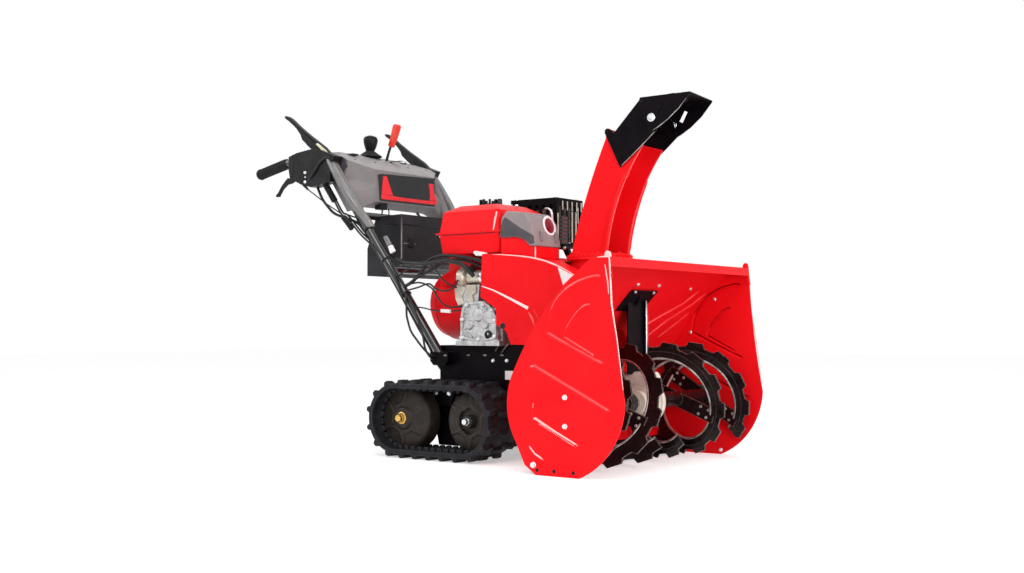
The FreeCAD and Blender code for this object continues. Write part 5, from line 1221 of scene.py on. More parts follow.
# %% Ribs and bosses on the crankcase cover
COVER_Y = -170.0
cover_rim = [(55, 372), (56, 432), (61, 462), (74, 478), (140, 480), (165, 467), (181, 449), (188, 420),
    (190, 372), (150, 366), (100, 366)]
cast_ribs = [(on_y(COVER_Y, cover_rim + cover_rim[:1]), 4.5, RIGHT)]
for ends in (((150, 461), (190, 459)), ((154, 438), (192, 436)), ((156, 420), (192, 418)),
        ((62, 452), (104, 446)), ((104, 446), (121, 470)), ((86, 411), (60, 395)), ((121, 442), (150, 410)),
        ((86, 411), (121, 442)), ((60, 395), (96, 372)), ((150, 410), (160, 380)),
        ((121, 442), (158, 461))):
    cast_ribs.append((on_y(COVER_Y, ends), 3.2, RIGHT))
sweep("crankcase_ribs", cast_ribs, FOLD, CAST_ALLOY)
BOSS = pattern(turned_part("CastBoss", [(0, -1), (11, -1), (10, 1.5), (8.6, 5), (7.6, 6.5), (0, 6.5)],
    steps=20))
boss_spots = [(60, 372), (58, 428), (76, 474), (140, 475), (176, 457), (186, 425), (186, 376), (124, 368)]
centre_spots = [(121, 442, 2.1), (86, 411, 1.5), (150, 410, 1.15)]
place_copies("crankcase_bosses", BOSS, [((x, COVER_Y, z), RIGHT, (0.95, 0.95, 0.8)) for x, z in boss_spots]
    + [((x, COVER_Y, z), RIGHT, (s, s, 0.9)) for x, z, s in centre_spots], CAST_ALLOY)
heads = [((x, COVER_Y - 5, z), RIGHT, 0.85) for x, z in boss_spots]
heads += [((x, y, 361.8), UP, 1.1) for x in (44, 192) for y in (-162, 122)]
heads += [((48, COVER_Y + 9, 560), BACK, 0.9), ((40, COVER_Y + 13, 372), RIGHT, 0.8)]
place_copies("engine_bolts", SMALL_BOLT, heads, BRIGHT_ZINC)
turned_part("drain_plug", [(0, 0), (13, 0), (13, 4), (10.5, 6), (8, 6), (7, 2), (0, 2)],
    (160, COVER_Y, 381), RIGHT, 24, BLACK_MOULDING, "black_plastic")
print("cast ribs", len(cast_ribs), "bosses", len(boss_spots) + len(centre_spots))

# %% Starter brackets, terminal and cable boot
slab("starter_bracket_rear", on_y(-166, [(20, 522), (30, 536), (60, 538), (62, 520), (50, 500), (58, 478),
    (36, 470), (24, 492)]), (0, 16, 0), STARTER_ALLOY, "cast_aluminium", 2.0)
slab("starter_bracket_front", on_y(-168, [(68, 536), (106, 536), (110, 512), (94, 504), (98, 478),
    (76, 476), (72, 506)]), (0, 18, 0), STARTER_ALLOY, "cast_aluminium", 2.0)
turned_part("starter_band", [(23.4, 0), (24.6, 1), (24.6, 9), (23.4, 10)], (120, -146, 560), AHEAD, 32,
    BRIGHT_ZINC, "steel")
turned_part("starter_rim", [(28, 0), (34.5, 0), (36.2, 2), (36.2, 6), (33, 8), (28, 8), (28, 0)],
    (52, -146, 560), AHEAD, 40, STARTER_ALLOY, "starter_zinc")
turned_part("terminal_boot", [(0, 0), (8, 0), (8, 9), (6, 14), (5, 20), (0, 21)], (92, -158, 578),
    (0, -0.5, 0.86), 20, GRIP_RUBBER, "grip_rubber")
print("starter pieces done")

# %% [markdown]
# ## Fan shroud and recoil cover
# A gloss black ring runs round in the gap between the shroud and the recoil cover, as painted shade
# in the gap. The rear face of the cover has two rings of cooling slots and three bolts, and its pull grip
# lies at the top.

# %% Gap, slots, screws and pull grip
FAN_Y, FAN_Z = -10.0, 480.0
SCREW_CIRCLE = 107.5
# A gloss black ring in the gap, as painted shade inside it.
turned_part("shroud_gap", [(96.6, 0), (98.2, 0), (98.2, 8.6), (96.6, 8.6), (96.6, 0)],
    (-96.3, FAN_Y, FAN_Z), AHEAD, 64, GLOSS_BLACK, "black_plastic")
SLOT = pattern(slab("CoolingSlot", on_z(0, [(-3.2, -17), (3.2, -17), (4.0, -14), (4.0, 14), (3.2, 17),
    (-3.2, 17), (-4.0, 14), (-4.0, -14)]), (0, 0, 0.6), width=0.2))
slots = []
for ring, count, radius in ((0, 16, 62.0), (1, 10, 30.0)):
    for number in range(count):
        turn = 2.0 * math.pi * (number + 0.5 * ring) / count
        out = (0.0, math.cos(turn), math.sin(turn))
        x = -140.0 if ring == 0 else -140.2
        slots.append(((x, FAN_Y + radius * out[1], FAN_Z + radius * out[2]), BACK,
            (1.0, 1.0 if ring == 0 else 0.42, 1.0), (0.0, -out[2], out[1])))
place_copies("recoil_slots", SLOT, slots, GLOSS_BLACK, spin=0.0)
shroud_screws = []
for turn in (35, 155, 275):
    angle = math.radians(turn)
    shroud_screws.append(((-112.0, FAN_Y + SCREW_CIRCLE * math.cos(angle), FAN_Z
        + SCREW_CIRCLE * math.sin(angle)), (-0.26, 0.966 * math.cos(angle), 0.966 * math.sin(angle)), 0.8))
place_copies("recoil_screws", SMALL_BOLT, shroud_screws, BRIGHT_ZINC)
slab("pull_grip", on_x(-150, [(14, 560), (20, 573), (62, 573), (68, 560), (50, 555), (32, 555)]),
    (26, 0, 0), GRIP_RUBBER, "grip_rubber", 4.5, 3)
slab("shroud_bracket", on_y(-128, [(-70, 540), (-66, 566), (-24, 584), (2, 592), (6, 560), (-24, 536)]),
    (0, 9, 0), PAINT_RED, "red_paint", 2.0)
print("shroud done, slots", len(slots))

# %% [markdown]
# ## Hoses and cables over the engine
# A thick breather hose arches over the starter, with a thinner one behind it. Four cables loop
# from the handle to the engine control. They are held at both ends, so they are plain tubes that
# ride with the machine.

# %% Hoses
hoses = [
    ([(-168, -196, 532), (-128, -192, 552), (-84, -189, 592), (-70, -188, 612), (-42, -187, 625),
        (8, -186, 629), (67, -186, 622), (116, -184, 614), (158, -178, 602), (180, -160, 590)], 5.6, RIGHT),
    ([(-120, -196, 556), (-56, -182, 588), (-24, -180, 604), (26, -178, 615), (80, -176, 609),
        (120, -172, 595), (150, -168, 580), (162, -150, 560)], 4.4, RIGHT)]
sweep("engine_hoses", hoses, ROUND, CABLE_SHEATH, 9.0, True)
thin = [
    ([(-196, -206, 560), (-120, -205, 600), (-77, -200, 612), (-58, -198, 606), (-30, -196, 583),
        (-7, -195, 557), (14, -190, 540), (34, -172, 528)], 2.8, RIGHT),
    ([(-150, -205, 520), (-100, -202, 530), (-58, -198, 541), (-34, -196, 527), (-2, -195, 517),
        (30, -194, 522), (46, -188, 537), (43, -175, 556), (40, -160, 566)], 2.8, RIGHT),
    ([(-140, -204, 540), (-92, -200, 545), (-48, -196, 527), (-25, -194, 498), (-7, -192, 478),
        (20, -190, 467), (46, -178, 468), (60, -166, 470)], 2.8, RIGHT),
    ([(-122, -200, 470), (-76, -196, 464), (-48, -194, 458), (-7, -190, 455), (26, -180, 455),
        (50, -165, 456)], 2.2, RIGHT)]
sweep("engine_cables", thin, ROUND, CABLE_SHEATH, 7.0, True)
slab("cable_plug", on_y(-196, [(-12, 450), (-12, 461), (24, 459), (24, 448)]), (0, 11, 0), WHITE_AND_PAINTED_HIGHLIGHT,
    "gray_plastic", 1.6)
slab("fuel_valve", on_y(-182, [(108, 634), (112, 640), (150, 634), (166, 626), (160, 621), (118, 624)]),
    (0, 14, 0), WHITE_AND_PAINTED_HIGHLIGHT, "gray_plastic", 2.0)
print("hoses", len(hoses), "cables", len(thin))

# %% [markdown]
# ## Belt cover
# The cover is a moulded shell. Its rolled top edge is painted pale pink as its highlight, a step
# runs down its face in lighter red as a painted highlight, and a white strip is painted along a
# crease as its highlight. A bare triangle is let in where a maker would put a name, and stays blank.

# %% Rolled edge, crease strip and step with painted highlights, and triangle
COVER_SIDE = 200.0
TRIM_Y = 199.6
cover_edge = [(160, 625), (200, 624.5), (253, 621), (325, 613), (381, 602), (422, 589), (463, 572),
    (504, 551), (548, 526)]
edges, crease_highlights, steps_gloss = [], [], []
for side in (-1, 1):
    edges.append((on_y(side * (COVER_SIDE - 1.0), cover_edge), tapered(len(cover_edge), 2.6, 3),
        (0, side * 0.6, 0.8)))
    crease_highlights.append((on_y(side * (COVER_SIDE - 0.4), ((158, 529), (205, 515), (270, 488), (334, 460))),
        [1.2, 2.0, 3.4, 4.6], (0, side, 0)))
    for line_2d in (((334, 449), (348, 430), (356, 407)), ((352, 456), (372, 429))):
        steps_gloss.append((on_y(side * COVER_SIDE, line_2d), tapered(len(line_2d), 4.0, 1), (0, side, 0)))
# The rolled edge, the crease strip and the step are swept in painted highlight colours.
sweep("cover_edge", edges, ROUND, PAINTED_PINK_HIGHLIGHT, 8.0, True)
sweep("cover_strip", crease_highlights, FOLD, WHITE_AND_PAINTED_HIGHLIGHT)
sweep("cover_steps", steps_gloss, PRESSED, PAINTED_RED_HIGHLIGHT)
for side, word in SIDES:
    slab("blank_triangle_" + word, on_y(side * TRIM_Y, [(440, 579), (494, 554), (459, 526)]),
        (0, side * 0.9, 0), WHITE_AND_PAINTED_HIGHLIGHT, "red_plastic", 0.25)
    turned_part("cover_eye_" + word, [(0, 0), (9.5, 0), (9.5, 1.6), (7.6, 2.4), (6.0, 2.4), (5.2, 0.8),
        (0, 0.8)], (238, side * 199.4, 408), (0, side, 0), 24, GLOSS_BLACK, "black_plastic")
place_copies("cover_screws", SMALL_BOLT, [((x, side * TRIM_Y, z), (0, side, 0), 0.8) for side in (-1, 1)
    for x, z in ((172, 600), (196, 478), (286, 372), (470, 384))][::2], MOULDED_RED)
print("belt cover trims done")

# %% [markdown]
# ## Fuel tank
# The two halves of the tank meet in a crimped flange, and a dark red line is painted by it as
# its shadow. The cap has finger ribs round it, and a vent stands beside it.

# %% Painted flange shadow, painted corner glint, cap ribs and vent
tank_low, tank_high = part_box("fuel_tank")
SEAM_Z = 689.0
SHARES = (0.10, 0.30, 0.50, 0.70, 0.90)
DIAGONAL = 0.7071
print("tank from", short(tank_low), "to", short(tank_high))

tank_skin = surface_of("fuel_tank")


def round_the_tank(z_mm):
    """Points on the tank wall at one height, going round it once."""
    x0, x1, y0, y1 = (tank_low.x / MM, tank_high.x / MM, tank_low.y / MM, tank_high.y / MM)
    starts = []
    for share in SHARES:
        starts.append((x0 + share * (x1 - x0), y0 - 60, LEFT))
    starts.append((x1 + 40, y0 - 40, (-DIAGONAL, DIAGONAL, 0)))
    for share in SHARES:
        starts.append((x1 + 60, y0 + share * (y1 - y0), BACK))
    starts.append((x1 + 40, y1 + 40, (-DIAGONAL, -DIAGONAL, 0)))
    for share in reversed(SHARES):
        starts.append((x0 + share * (x1 - x0), y1 + 60, RIGHT))
    starts.append((x0 - 40, y1 + 40, (DIAGONAL, -DIAGONAL, 0)))
    for share in reversed(SHARES):
        starts.append((x0 - 60, y0 + share * (y1 - y0), AHEAD))
    starts.append((x0 - 40, y0 - 40, (DIAGONAL, DIAGONAL, 0)))
    found = [laid_on(tank_skin, (x, y, z_mm), way) for x, y, way in starts]
    return [tuple(place) for place, _ in found], [tuple(normal) for _, normal in found]


around, outward = round_the_tank(SEAM_Z + 4.0)
# Dark red: the air cleaner's dish and knob, and the painted shadow line by the tank's flange.
DARK_RED_AND_SHADOW = finish("DarkRedMoulding", (0.16, 0.004, 0.010), (0.26, 0.008, 0.018), 14, (0.3, 0.45), 0.8, 0.03,
    gloss=0.3)
# A dark red line round the tank by its flange, painted as the flange's shadow.
sweep("tank_joint", [(around, 1.3, outward)], FOLD, DARK_RED_AND_SHADOW, loop=True)
# A pale pink strip down the tank's front corner, painted as its glint.
glint_points, glint_normals = [], []
for x, z in ((190, 757), (188, 738), (186, 719), (184, 701)):
    place, normal = laid_on(tank_skin, (x, -260, z), LEFT)
    glint_points.append(tuple(place))
    glint_normals.append(tuple(normal))
sweep("tank_corner_line", [(glint_points, [2.2, 3.4, 3.2, 2.0], glint_normals)], PRESSED, PAINTED_PINK_HIGHLIGHT)
CAP_X, CAP_Y = 70.0, -50.0
CAP_FINGERS, FINGER_CIRCLE = 9, 27.0
FINGER = pattern(slab("CapFinger", on_z(0, [(-4.0, -6.0), (4.0, -6.0), (3.0, 2.6), (-3.0, 2.6)]),
    (0, 0, 20.5), width=1.2))
place_copies("cap_fingers", FINGER, [((CAP_X + FINGER_CIRCLE * x, CAP_Y + FINGER_CIRCLE * y, 790.0), UP,
    1.0, (-y, x, 0)) for x, y in ring_points(CAP_FINGERS, 1.0, 0.5)], BLACK_MOULDING,
    spin=0.0, stands_for=["fuel_cap"])
turned_part("cap_gasket", [(22, 0), (32.5, 0), (33.6, 1.2), (33.0, 3.0), (30, 3.6), (22, 3.6), (22, 0)],
    (CAP_X, CAP_Y, 786.6), UP, 40, BRIGHT_ZINC, "steel")
turned_part("cap_core", [(0, 0), (25, 0), (25.5, 6), (23, 9), (12, 10.5), (0, 10.5)], (CAP_X, CAP_Y, 788.0),
    UP, 32, BLACK_MOULDING, "black_plastic")
turned_part("tank_gauge", [(0, 0), (10, 0), (10, 4), (8.2, 6), (8.2, 22), (6.4, 25), (0, 26)],
    (112, -52, 786), UP, 24, GLOSS_BLACK, "black_plastic")
place_copies("tank_bolts", SMALL_BOLT, [((-48.5, -150, 692), BACK, 0.8), ((-48.5, 50, 692), BACK, 0.8),
    ((146, -40, 786), UP, 1.1), ((170, -40, 785.5), UP, 0.9)], BRIGHT_ZINC)
print("joint points", len(around), "cap fingers", CAP_FINGERS)

# %% [markdown]
# ## Air cleaner
# A hard gray lid is pressed over a red tub. The lower part of its side is darker, a thin slate
# sheet painted on as shade, and its front carries a round knob in a pale collar that unscrews to
# free the filter. A pale line is painted down the tub's corner as its highlight.

# %% Painted shade on the side, front knob and tub corner highlight
LID_GRAY = finish("LidGray", (0.235, 0.200, 0.205), (0.295, 0.255, 0.260), 60, (0.42, 0.56), 1.0, 0.05,
    edge=((0.55, 0.53, 0.54), 1.6, 0.7), cells=True, gloss=0.25)
DRESS["air_cleaner_cover"] = (LID_GRAY, 4.0)
# Dark slate: painted shade on the air cleaner's side, and the darker facets on the console's sides.
SLATE_AND_PAINTED_SHADE = finish("SlateMoulding", (0.060, 0.056, 0.064), (0.090, 0.085, 0.094), 60, (0.46, 0.6), 1.0,
    0.05, edge=((0.2, 0.2, 0.21), 1.2, 0.6), cells=True, gloss=0.22)
# The lower part of the side faces away from the lamps, so a thin slate sheet is laid there as painted shade.
PANEL_Y = -181.4
slab("cleaner_panel_right", on_y(PANEL_Y, [(223, 728), (232, 737), (242, 732), (290, 703), (340, 677),
    (343, 653), (327, 651), (301, 670), (270, 678), (215, 678), (217, 706)]), (0, -0.9, 0), SLATE_AND_PAINTED_SHADE,
    "gray_plastic", 0.4)
cleaner_skin = surface_of("air_cleaner_cover")
face_spot, face_normal = laid_on(cleaner_skin, (420, -88, 712), BACK)
print("front face of the cleaner at", short(face_spot, 1), short(face_normal, 2))
turned_part("cleaner_collar", [(23, -2), (31, -2), (31.5, 0.8), (29.5, 2.6), (25.5, 2.6), (23.4, 0.6),
    (23, -2)], face_spot, face_normal, 40, WHITE_AND_PAINTED_HIGHLIGHT, "gray_plastic")
turned_part("cleaner_dish", [(0, -2), (23.6, -2), (23.6, 0.4), (0, 0.5)], face_spot, face_normal, 40,
    DARK_RED_AND_SHADOW, "red_plastic")
turned_part("cleaner_knob", [(0, 0), (17, 0), (17.6, 2), (16, 5), (10, 6.2), (0, 6.6)], face_spot,
    face_normal, 12, DARK_RED_AND_SHADOW, "red_plastic")
# A pale pink line painted down the tub's front corner as its highlight.
sweep("cleaner_tub_line", [(
    [(341, -175.2, 644), (341.4, -175.4, 630), (341.4, -175.4, 616), (341, -175.2, 606)],
    [1.0, 2.0, 2.0, 1.0],
    (0.7, -0.7, 0))], FOLD, PAINTED_PINK_HIGHLIGHT)
for y in (-150, -76):
    slab("cleaner_clip_" + str(abs(y)), on_y(y, [(342, 660), (346, 664), (345, 690), (341, 694),
        (339, 676)]), (0, 10, 0), GRAY_MOULDING, "gray_plastic", 1.0)
print("air cleaner pieces done")

# %% [markdown]
# ## Muffler and its guard
# The guard is folded sheet with a row of slots. Behind the slots sit the muffler's louvres and
# its pale stays, and a bright breather pipe bends over and down in front of the guard. A black
# bracket carries the guard on the cover.

# %% Louvres, stays, roof bolts, pipe and bracket
# The louvres are dark steel, with a red tint painted on as the reflection of the red cover.
LOUVRE_PAINTED_REFLECTION = finish("HeatTint", (0.10, 0.020, 0.022), (0.22, 0.045, 0.045), 12, (0.4, 0.6), 0.7, 0.05,
    metal=0.3)
LOUVRE = pattern(slab("Louvre", on_y(0, [(-3.0, -4.2), (0.4, -4.6), (3.0, 3.4), (1.2, 4.4)]), (0, 36, 0),
    width=0.8))
place_copies("muffler_louvres", LOUVRE, [((227.5, 126, 682 + 12.4 * n), UP, (0.8, 0.85, 0.72), AHEAD)
    for n in range(7)], LOUVRE_PAINTED_REFLECTION, spin=0.0)
for number, (y, low, high) in enumerate(((103, 676, 772), (184, 680, 781), (206, 680, 781))):
    slab("muffler_stay_" + str(number), on_y(y, [(225, low), (225, high), (228, high), (228, low)]),
        (0, 6, 0), STARTER_ALLOY, "exhaust_steel", 1.0)
# A thin black sheet behind the louvres, painted shade for the inside of the guard.
slab("louvre_window", on_x(225.4, [(120, 674), (120, 764), (162, 764), (162, 674)]), (0.8, 0, 0),
    GLOSS_BLACK, "exhaust_steel", 0.3)
SLAT_ROWS = (134, 161, 188, 215, 241)
SLAT = pattern(slab("SlatFront", on_x(0, [(-2.8, 784), (2.8, 784), (2.8, 813), (-2.8, 813)]), (1.1, 0, 0),
    width=0.4))
place_copies("guard_slat_fronts", SLAT, [((225.6, y, 0), UP, 1.0, AHEAD) for y in SLAT_ROWS], STARTER_ALLOY,
    spin=0.0)
place_copies("guard_bolts", SMALL_BOLT, [((x, y, 821.8), UP, 0.9) for x in (56, 210) for y in (114, 236)]
    + [((x, 250, 742), LEFT, 0.9) for x in (60, 206)], BRIGHT_ZINC)
SIDE_SLOT = pattern(slab("SideSlot", on_z(0, [(-5, -34), (5, -34), (6, -31), (6, 31), (5, 34), (-5, 34),
    (-6, 31), (-6, -31)]), (0, 0, 0.6), width=0.2))
place_copies("guard_side_slots", SIDE_SLOT, [((72 + 20 * n, 249.9, 742), LEFT, 1.0, AHEAD)
    for n in range(7)] + [((40.9, 130 + 20 * n, 742), BACK, 1.0, LEFT) for n in range(5)], GLOSS_BLACK,
    spin=0.0)
sweep("breather_pipe", [([(176, 108, 764), (178, 98, 774), (184, 88, 780), (200, 72, 784), (220, 64, 782),
    (233, 60, 773), (237, 59, 758), (238, 58, 712), (238, 58, 668), (234, 60, 616)], 3.4, RIGHT)],
    ROUND_FINE, BRIGHT_ZINC, 6.0, True)
slab("guard_leg", on_y(102, [(226, 676), (252, 668), (264, 660), (284, 616), (270, 610), (248, 650),
    (222, 662)]), (0, 18, 0), PAINT_BLACK, "black_paint", 2.0)
place_copies("guard_leg_bolts", SMALL_BOLT, [((256, 101.8, 656), RIGHT, 0.9),
    ((272, 101.8, 624), RIGHT, 0.9)], BRIGHT_ZINC)
print("muffler pieces done")

# %% [markdown]
# ## Frame, transmission and hangers
# The frame is a folded channel that the engine and transmission hang in. Weld studs and bolts run
# along its side, with a bare white plate where a maker would rivet a name. The tracks hang from
# arms with large bolts, and two short levers work the steering clutches.

# %% Studs, bolts, plate and steering levers
frame_skin = surface_of("main_frame")
hanger_skin = surface_of("track_frame")
CLEAR_Y = 330


def on_frame(skin, spots, side=-1, inmost=100.0):
    """Points on a side wall, found by looking straight across; spots that miss the wall are left out."""
    found = []
    for x, z in spots:
        place, normal, _, _ = skin.ray_cast(Vector((x, side * CLEAR_Y, z)) * MM, Vector((0, -side, 0)))
        if place is not None and abs(place.y / MM) > inmost:
            found.append((tuple(place / MM), (0.0, float(side), 0.0)))
    return found


studs = []
for side in (-1, 1):
    studs += [(place, normal, (1.5, 0.8, 0.7), AHEAD) for place, normal in on_frame(frame_skin,
        [(-3, 315), (63, 316), (130, 317), (196, 318)], side)]
place_copies("frame_studs", RIVET, studs, HOT_STEEL, spin=0.0)
frame_bolt_spots = []
for side in (-1, 1):
    frame_bolt_spots += [(place, normal, 0.95) for place, normal in on_frame(frame_skin, [(163, 301),
        (216, 302), (20, 200), (100, 190), (180, 205), (252, 180), (60, 130), (150, 126)], side)]
place_copies("frame_bolts", SMALL_BOLT, frame_bolt_spots, BRIGHT_ZINC)
plate_spot = on_frame(frame_skin, [(224, 258)])[0][0]
slab("blank_plate", on_y(plate_spot[1] + 0.3, [(209, 244), (209, 271), (240, 271), (235, 244)]),
    (0, -1.2, 0), WHITE_AND_PAINTED_HIGHLIGHT, "steel", 0.4)
lever_y = plate_spot[1]
steering = []
for a, b in (((174, 331), (204, 359)), ((198, 326), (231, 355))):
    steering.append(([(a[0], lever_y - 2, a[1]), ((a[0] + b[0]) / 2, lever_y - 8, (a[1] + b[1]) / 2),
        (b[0], lever_y - 10, b[1])], 2.6, RIGHT))
sweep("steering_rods", steering, ROUND, HOT_STEEL, 5.0, True)
hanger_bolt_spots = []
for side in (-1, 1):
    hanger_bolt_spots += [(place, normal, 0.9) for place, normal in on_frame(hanger_skin,
        [(31, 166), (-41, 160), (130, 160)], side)]
place_copies("hanger_bolts", LARGE_BOLT, hanger_bolt_spots, BRIGHT_ZINC, body="tracks")
print("frame bolts", len(frame_bolt_spots), "hanger bolts", len(hanger_bolt_spots))

# %% Tensioner plates inside the track loops
TENSIONER_Y = 196.0
tensioner_spots = []
for side, word in SIDES:
    outline = on_y(side * TENSIONER_Y, ((-62, 213), (52, 213), (40, 186), (30, 160), (-30, 160),
        (-44, 186)))
    slab("tensioner_plate_" + word, outline, (0, -side * 6.0, 0), PAINT_BLACK, "black_paint", 1.4,
        body="tracks")
    foot_outline = on_y(side * (TENSIONER_Y - 5.6), ((-14, 184), (24, 184), (22, 168), (-12, 168)))
    slab("tensioner_foot_" + word, foot_outline, (0, -side * 14.8, 0), PAINT_BLACK, "black_paint", 1.0,
        body="tracks")
    tensioner_spots += [((x, side * TENSIONER_Y, 198), (0, side, 0), 0.95) for x in (-30, 26)]
place_copies("tensioner_bolts", LARGE_BOLT, tensioner_spots, BRIGHT_ZINC, body="tracks")
print("tensioner plates 2, bolts", len(tensioner_spots))

# %% Transmission ribs and fill plug
box_skin = surface_of("transmission")
box_low, box_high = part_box("transmission")
rib_lines = []
for x in range(40, 230, 24):
    low = laid_on(box_skin, (x, 0, 60), UP)[0]
    rib_lines.append((on_x(x, [(-96, low.z + 0.4), (0, low.z + 0.4), (96, low.z + 0.4)]), 3.4, DOWN))
sweep("transmission_ribs", rib_lines, FOLD, CAST_ALLOY)
back, back_normal = laid_on(box_skin, (-60, 0, 250), AHEAD)
turned_part("transmission_plug", [(0, -1), (15, -1), (15, 4), (12, 6), (9, 6), (8, 10), (0, 10)], back,
    back_normal, 24, BRIGHT_ZINC, "steel")
print("transmission from", short(box_low), "to", short(box_high))

# %% [markdown]
# ## Handlebars, grips and levers
# Both bars end in a ribbed rubber grip. A moulded bracket holds the paddle above the grip and the
# trigger below it, and their cables leave the bracket through threaded adjusters with rubber
# boots. A bundle of cables follows the bar down to the engine, held by ties.

# %% Grip ribs and end flanges
TUBE_GLOSS = finish("TubeGloss", (0.006, 0.006, 0.007), (0.012, 0.012, 0.013), 60, (0.16, 0.26), 0.9, 0.01,
    edge=((0.2, 0.2, 0.2), 1.0, 0.8), gloss=0.5, coat=0.6)
DRESS["handlebars"] = (TUBE_GLOSS, 0.5)
grip_start, grip_way = Vector((-650.0, 250.0, 963.0)), Vector((-140.0, 0.0, -29.0)).normalized()
grip_skin = surface_of("handle_grips")


def grip_radius(along):
    """How thick the grip is at one place, measured from its axis."""
    middle = grip_start + grip_way * along
    place, _, _, _ = grip_skin.ray_cast((middle + Vector((0, 80, 0))) * MM, Vector(RIGHT))
    return (place / MM - middle).length if place is not None else 16.0


grip_parts = []
for side in (-1, 1):
    rings = []
    for n in range(17):
        along = 12.0 + 7.4 * n
        middle = grip_start + grip_way * along
        radius = grip_radius(along) - 0.3
        across = Vector(LEFT)
        up = grip_way.cross(across).normalized()
        loop_points = []
        for x, y in ring_points(28, radius):
            point = middle + across * x + up * y
            loop_points.append((point.x, side * point.y, point.z))
        facings = [tuple(Vector((0.0, p[1] - side * 250.0, p[2] - middle.z)).normalized())
            for p in loop_points]
        rings.append((loop_points, 1.7, facings))
    grip_parts += rings
sweep("grip_ribs", grip_parts, FOLD, GRIP_RUBBER, loop=True)
for side, word in SIDES:
    end = grip_start + grip_way * 141.0
    turned_part("grip_end_" + word, [(0, 0), (18, 0), (19.4, 2), (19.4, 4.5), (16, 7), (8, 7.6), (0, 7.0)],
        (end.x, side * 250, end.z), (-grip_way.x, 0, -grip_way.z), 28, GRIP_RUBBER, "grip_rubber")
print("grip radius at the middle", round(grip_radius(70.0), 1))

# %% Lever bracket bolts, adjusters and boots
BRACKET_Y = 269.6
bracket_bolts, bracket_rivets = [], []
for side in (-1, 1):
    bracket_bolts += [((-545, side * BRACKET_Y, 922), (0, side, 0), 0.8), ((-545, side * BRACKET_Y, 891),
        (0, side, 0), 0.8)]
    bracket_rivets += [((-545, side * BRACKET_Y, 907), (0, side, 0), 0.6)]
place_copies("bracket_bolts", SMALL_BOLT, bracket_bolts, BRIGHT_ZINC)
place_copies("bracket_rivets", RIVET, bracket_rivets, BRIGHT_ZINC)


def bellows(name, start, end, radius, folds, material):
    """A rubber boot or a threaded adjuster: rings that rise and fall along a line."""
    start, end = Vector(start), Vector(end)
    length = (end - start).length
    profile = [(0, 0), (0.62 * radius, 0)]
    for n in range(folds):
        low, high = length * n / folds, length * (n + 1) / folds
        profile += [(radius, low + 0.28 * (high - low)), (radius, low + 0.62 * (high - low)),
            (0.74 * radius, high - 0.01)]
    profile += [(0.62 * radius, length), (0, length)]
    return turned_part(name, profile, start, end - start, 20, material, "grip_rubber")


for side, word in SIDES:
    bellows("clutch_boot_" + word, (-476, side * 242, 880), (-436, side * 238, 822), 11.0, 9, GRIP_RUBBER)
    bellows("cable_boot_" + word, (-398, side * 238, 768), (-362, side * 232, 726), 9.0, 7, GRIP_RUBBER)
    bellows("trigger_adjuster_" + word, (-566, side * 256, 884), (-545, side * 258, 866), 5.0, 6,
        SHAFT_STEEL)
    slab("paddle_tag_" + word, on_y(side * 259.6, [(-506, 1017), (-494, 1018), (-462, 996), (-444, 980),
        (-462, 981)]), (0, side * 1.2, 0), TAG_CREAM, "black_plastic", 0.4)
print("boots and adjusters done")

# %% Slim paddles and triggers
PADDLE = [(-662, 1125), (-653, 1126), (-640, 1121), (-626, 1112), (-589, 1083), (-541, 1050), (-500, 1024),
    (-469, 1004), (-443, 981), (-456, 970), (-479, 962), (-499, 984), (-525, 998), (-546, 1014),
    (-574, 1038), (-581, 1054), (-599, 1075), (-626, 1098), (-655, 1116)]
TRIGGER = [(-646, 913), (-627, 907), (-611, 900), (-626, 893), (-649, 890), (-670, 876), (-686, 857),
    (-688, 851), (-705, 851), (-703, 859), (-694, 865), (-676, 888), (-657, 905)]
for side, word in SIDES:
    slab("paddle_" + word, on_y(side * 241, PADDLE), (0, side * 18.4, 0), BLACK_MOULDING, "black_plastic",
        2.2, 3, stands_for=["clutch_paddles"])
    sweep("paddle_spine_" + word, [(on_y(side * 259.4, ((-648, 1117), (-600, 1084), (-548, 1043),
        (-506, 1012), (-478, 984))), [1.6, 3.4, 4.6, 4.0, 2.4], (0, side, 0))], FOLD, BLACK_MOULDING)
    slab("trigger_" + word, on_y(side * 247, TRIGGER), (0, side * 9.0, 0), BLACK_MOULDING, "black_plastic",
        1.8, 3, stands_for=["steering_triggers"])
    ridges = [(on_y(side * 269.7, line), 1.5, (0, side, 0)) for line in (
        ((-582, 962), (-568, 928), (-576, 903)), ((-506, 985), (-470, 953)),
        ((-521, 913), (-500, 890), (-480, 910)), ((-606, 980), (-604, 930), (-610, 908)),
        ((-560, 984), (-520, 992), (-508, 986)))]
    sweep("bracket_ridges_" + word, ridges, FOLD, BLACK_MOULDING)
print("paddle outline", len(PADDLE), "trigger outline", len(TRIGGER))

# %% Gray sleeves where the bars leave the brackets
# Gray for the sleeves and the cable socket, and for the painted highlight lines on the battery box.
SLEEVE_GRAY = finish("SleeveGray", (0.13, 0.125, 0.125), (0.19, 0.18, 0.18), 40, (0.22, 0.34), 0.8, 0.02,
    edge=((0.6, 0.6, 0.6), 1.0, 0.6), gloss=0.6, coat=0.3)
sleeves = [([(-444, side * 257, 962), (-420, side * 260, 929), (-396, side * 261, 896),
    (-352, side * 258, 836), (-318, side * 246, 786), (-300, side * 228, 752), (-290, side * 217, 728)],
    13.6, (0, side, 0)) for side in (-1, 1)]
sweep("bar_sleeves", sleeves, ROUND_FINE, SLEEVE_GRAY, 8.0, True)
print("sleeves", len(sleeves))

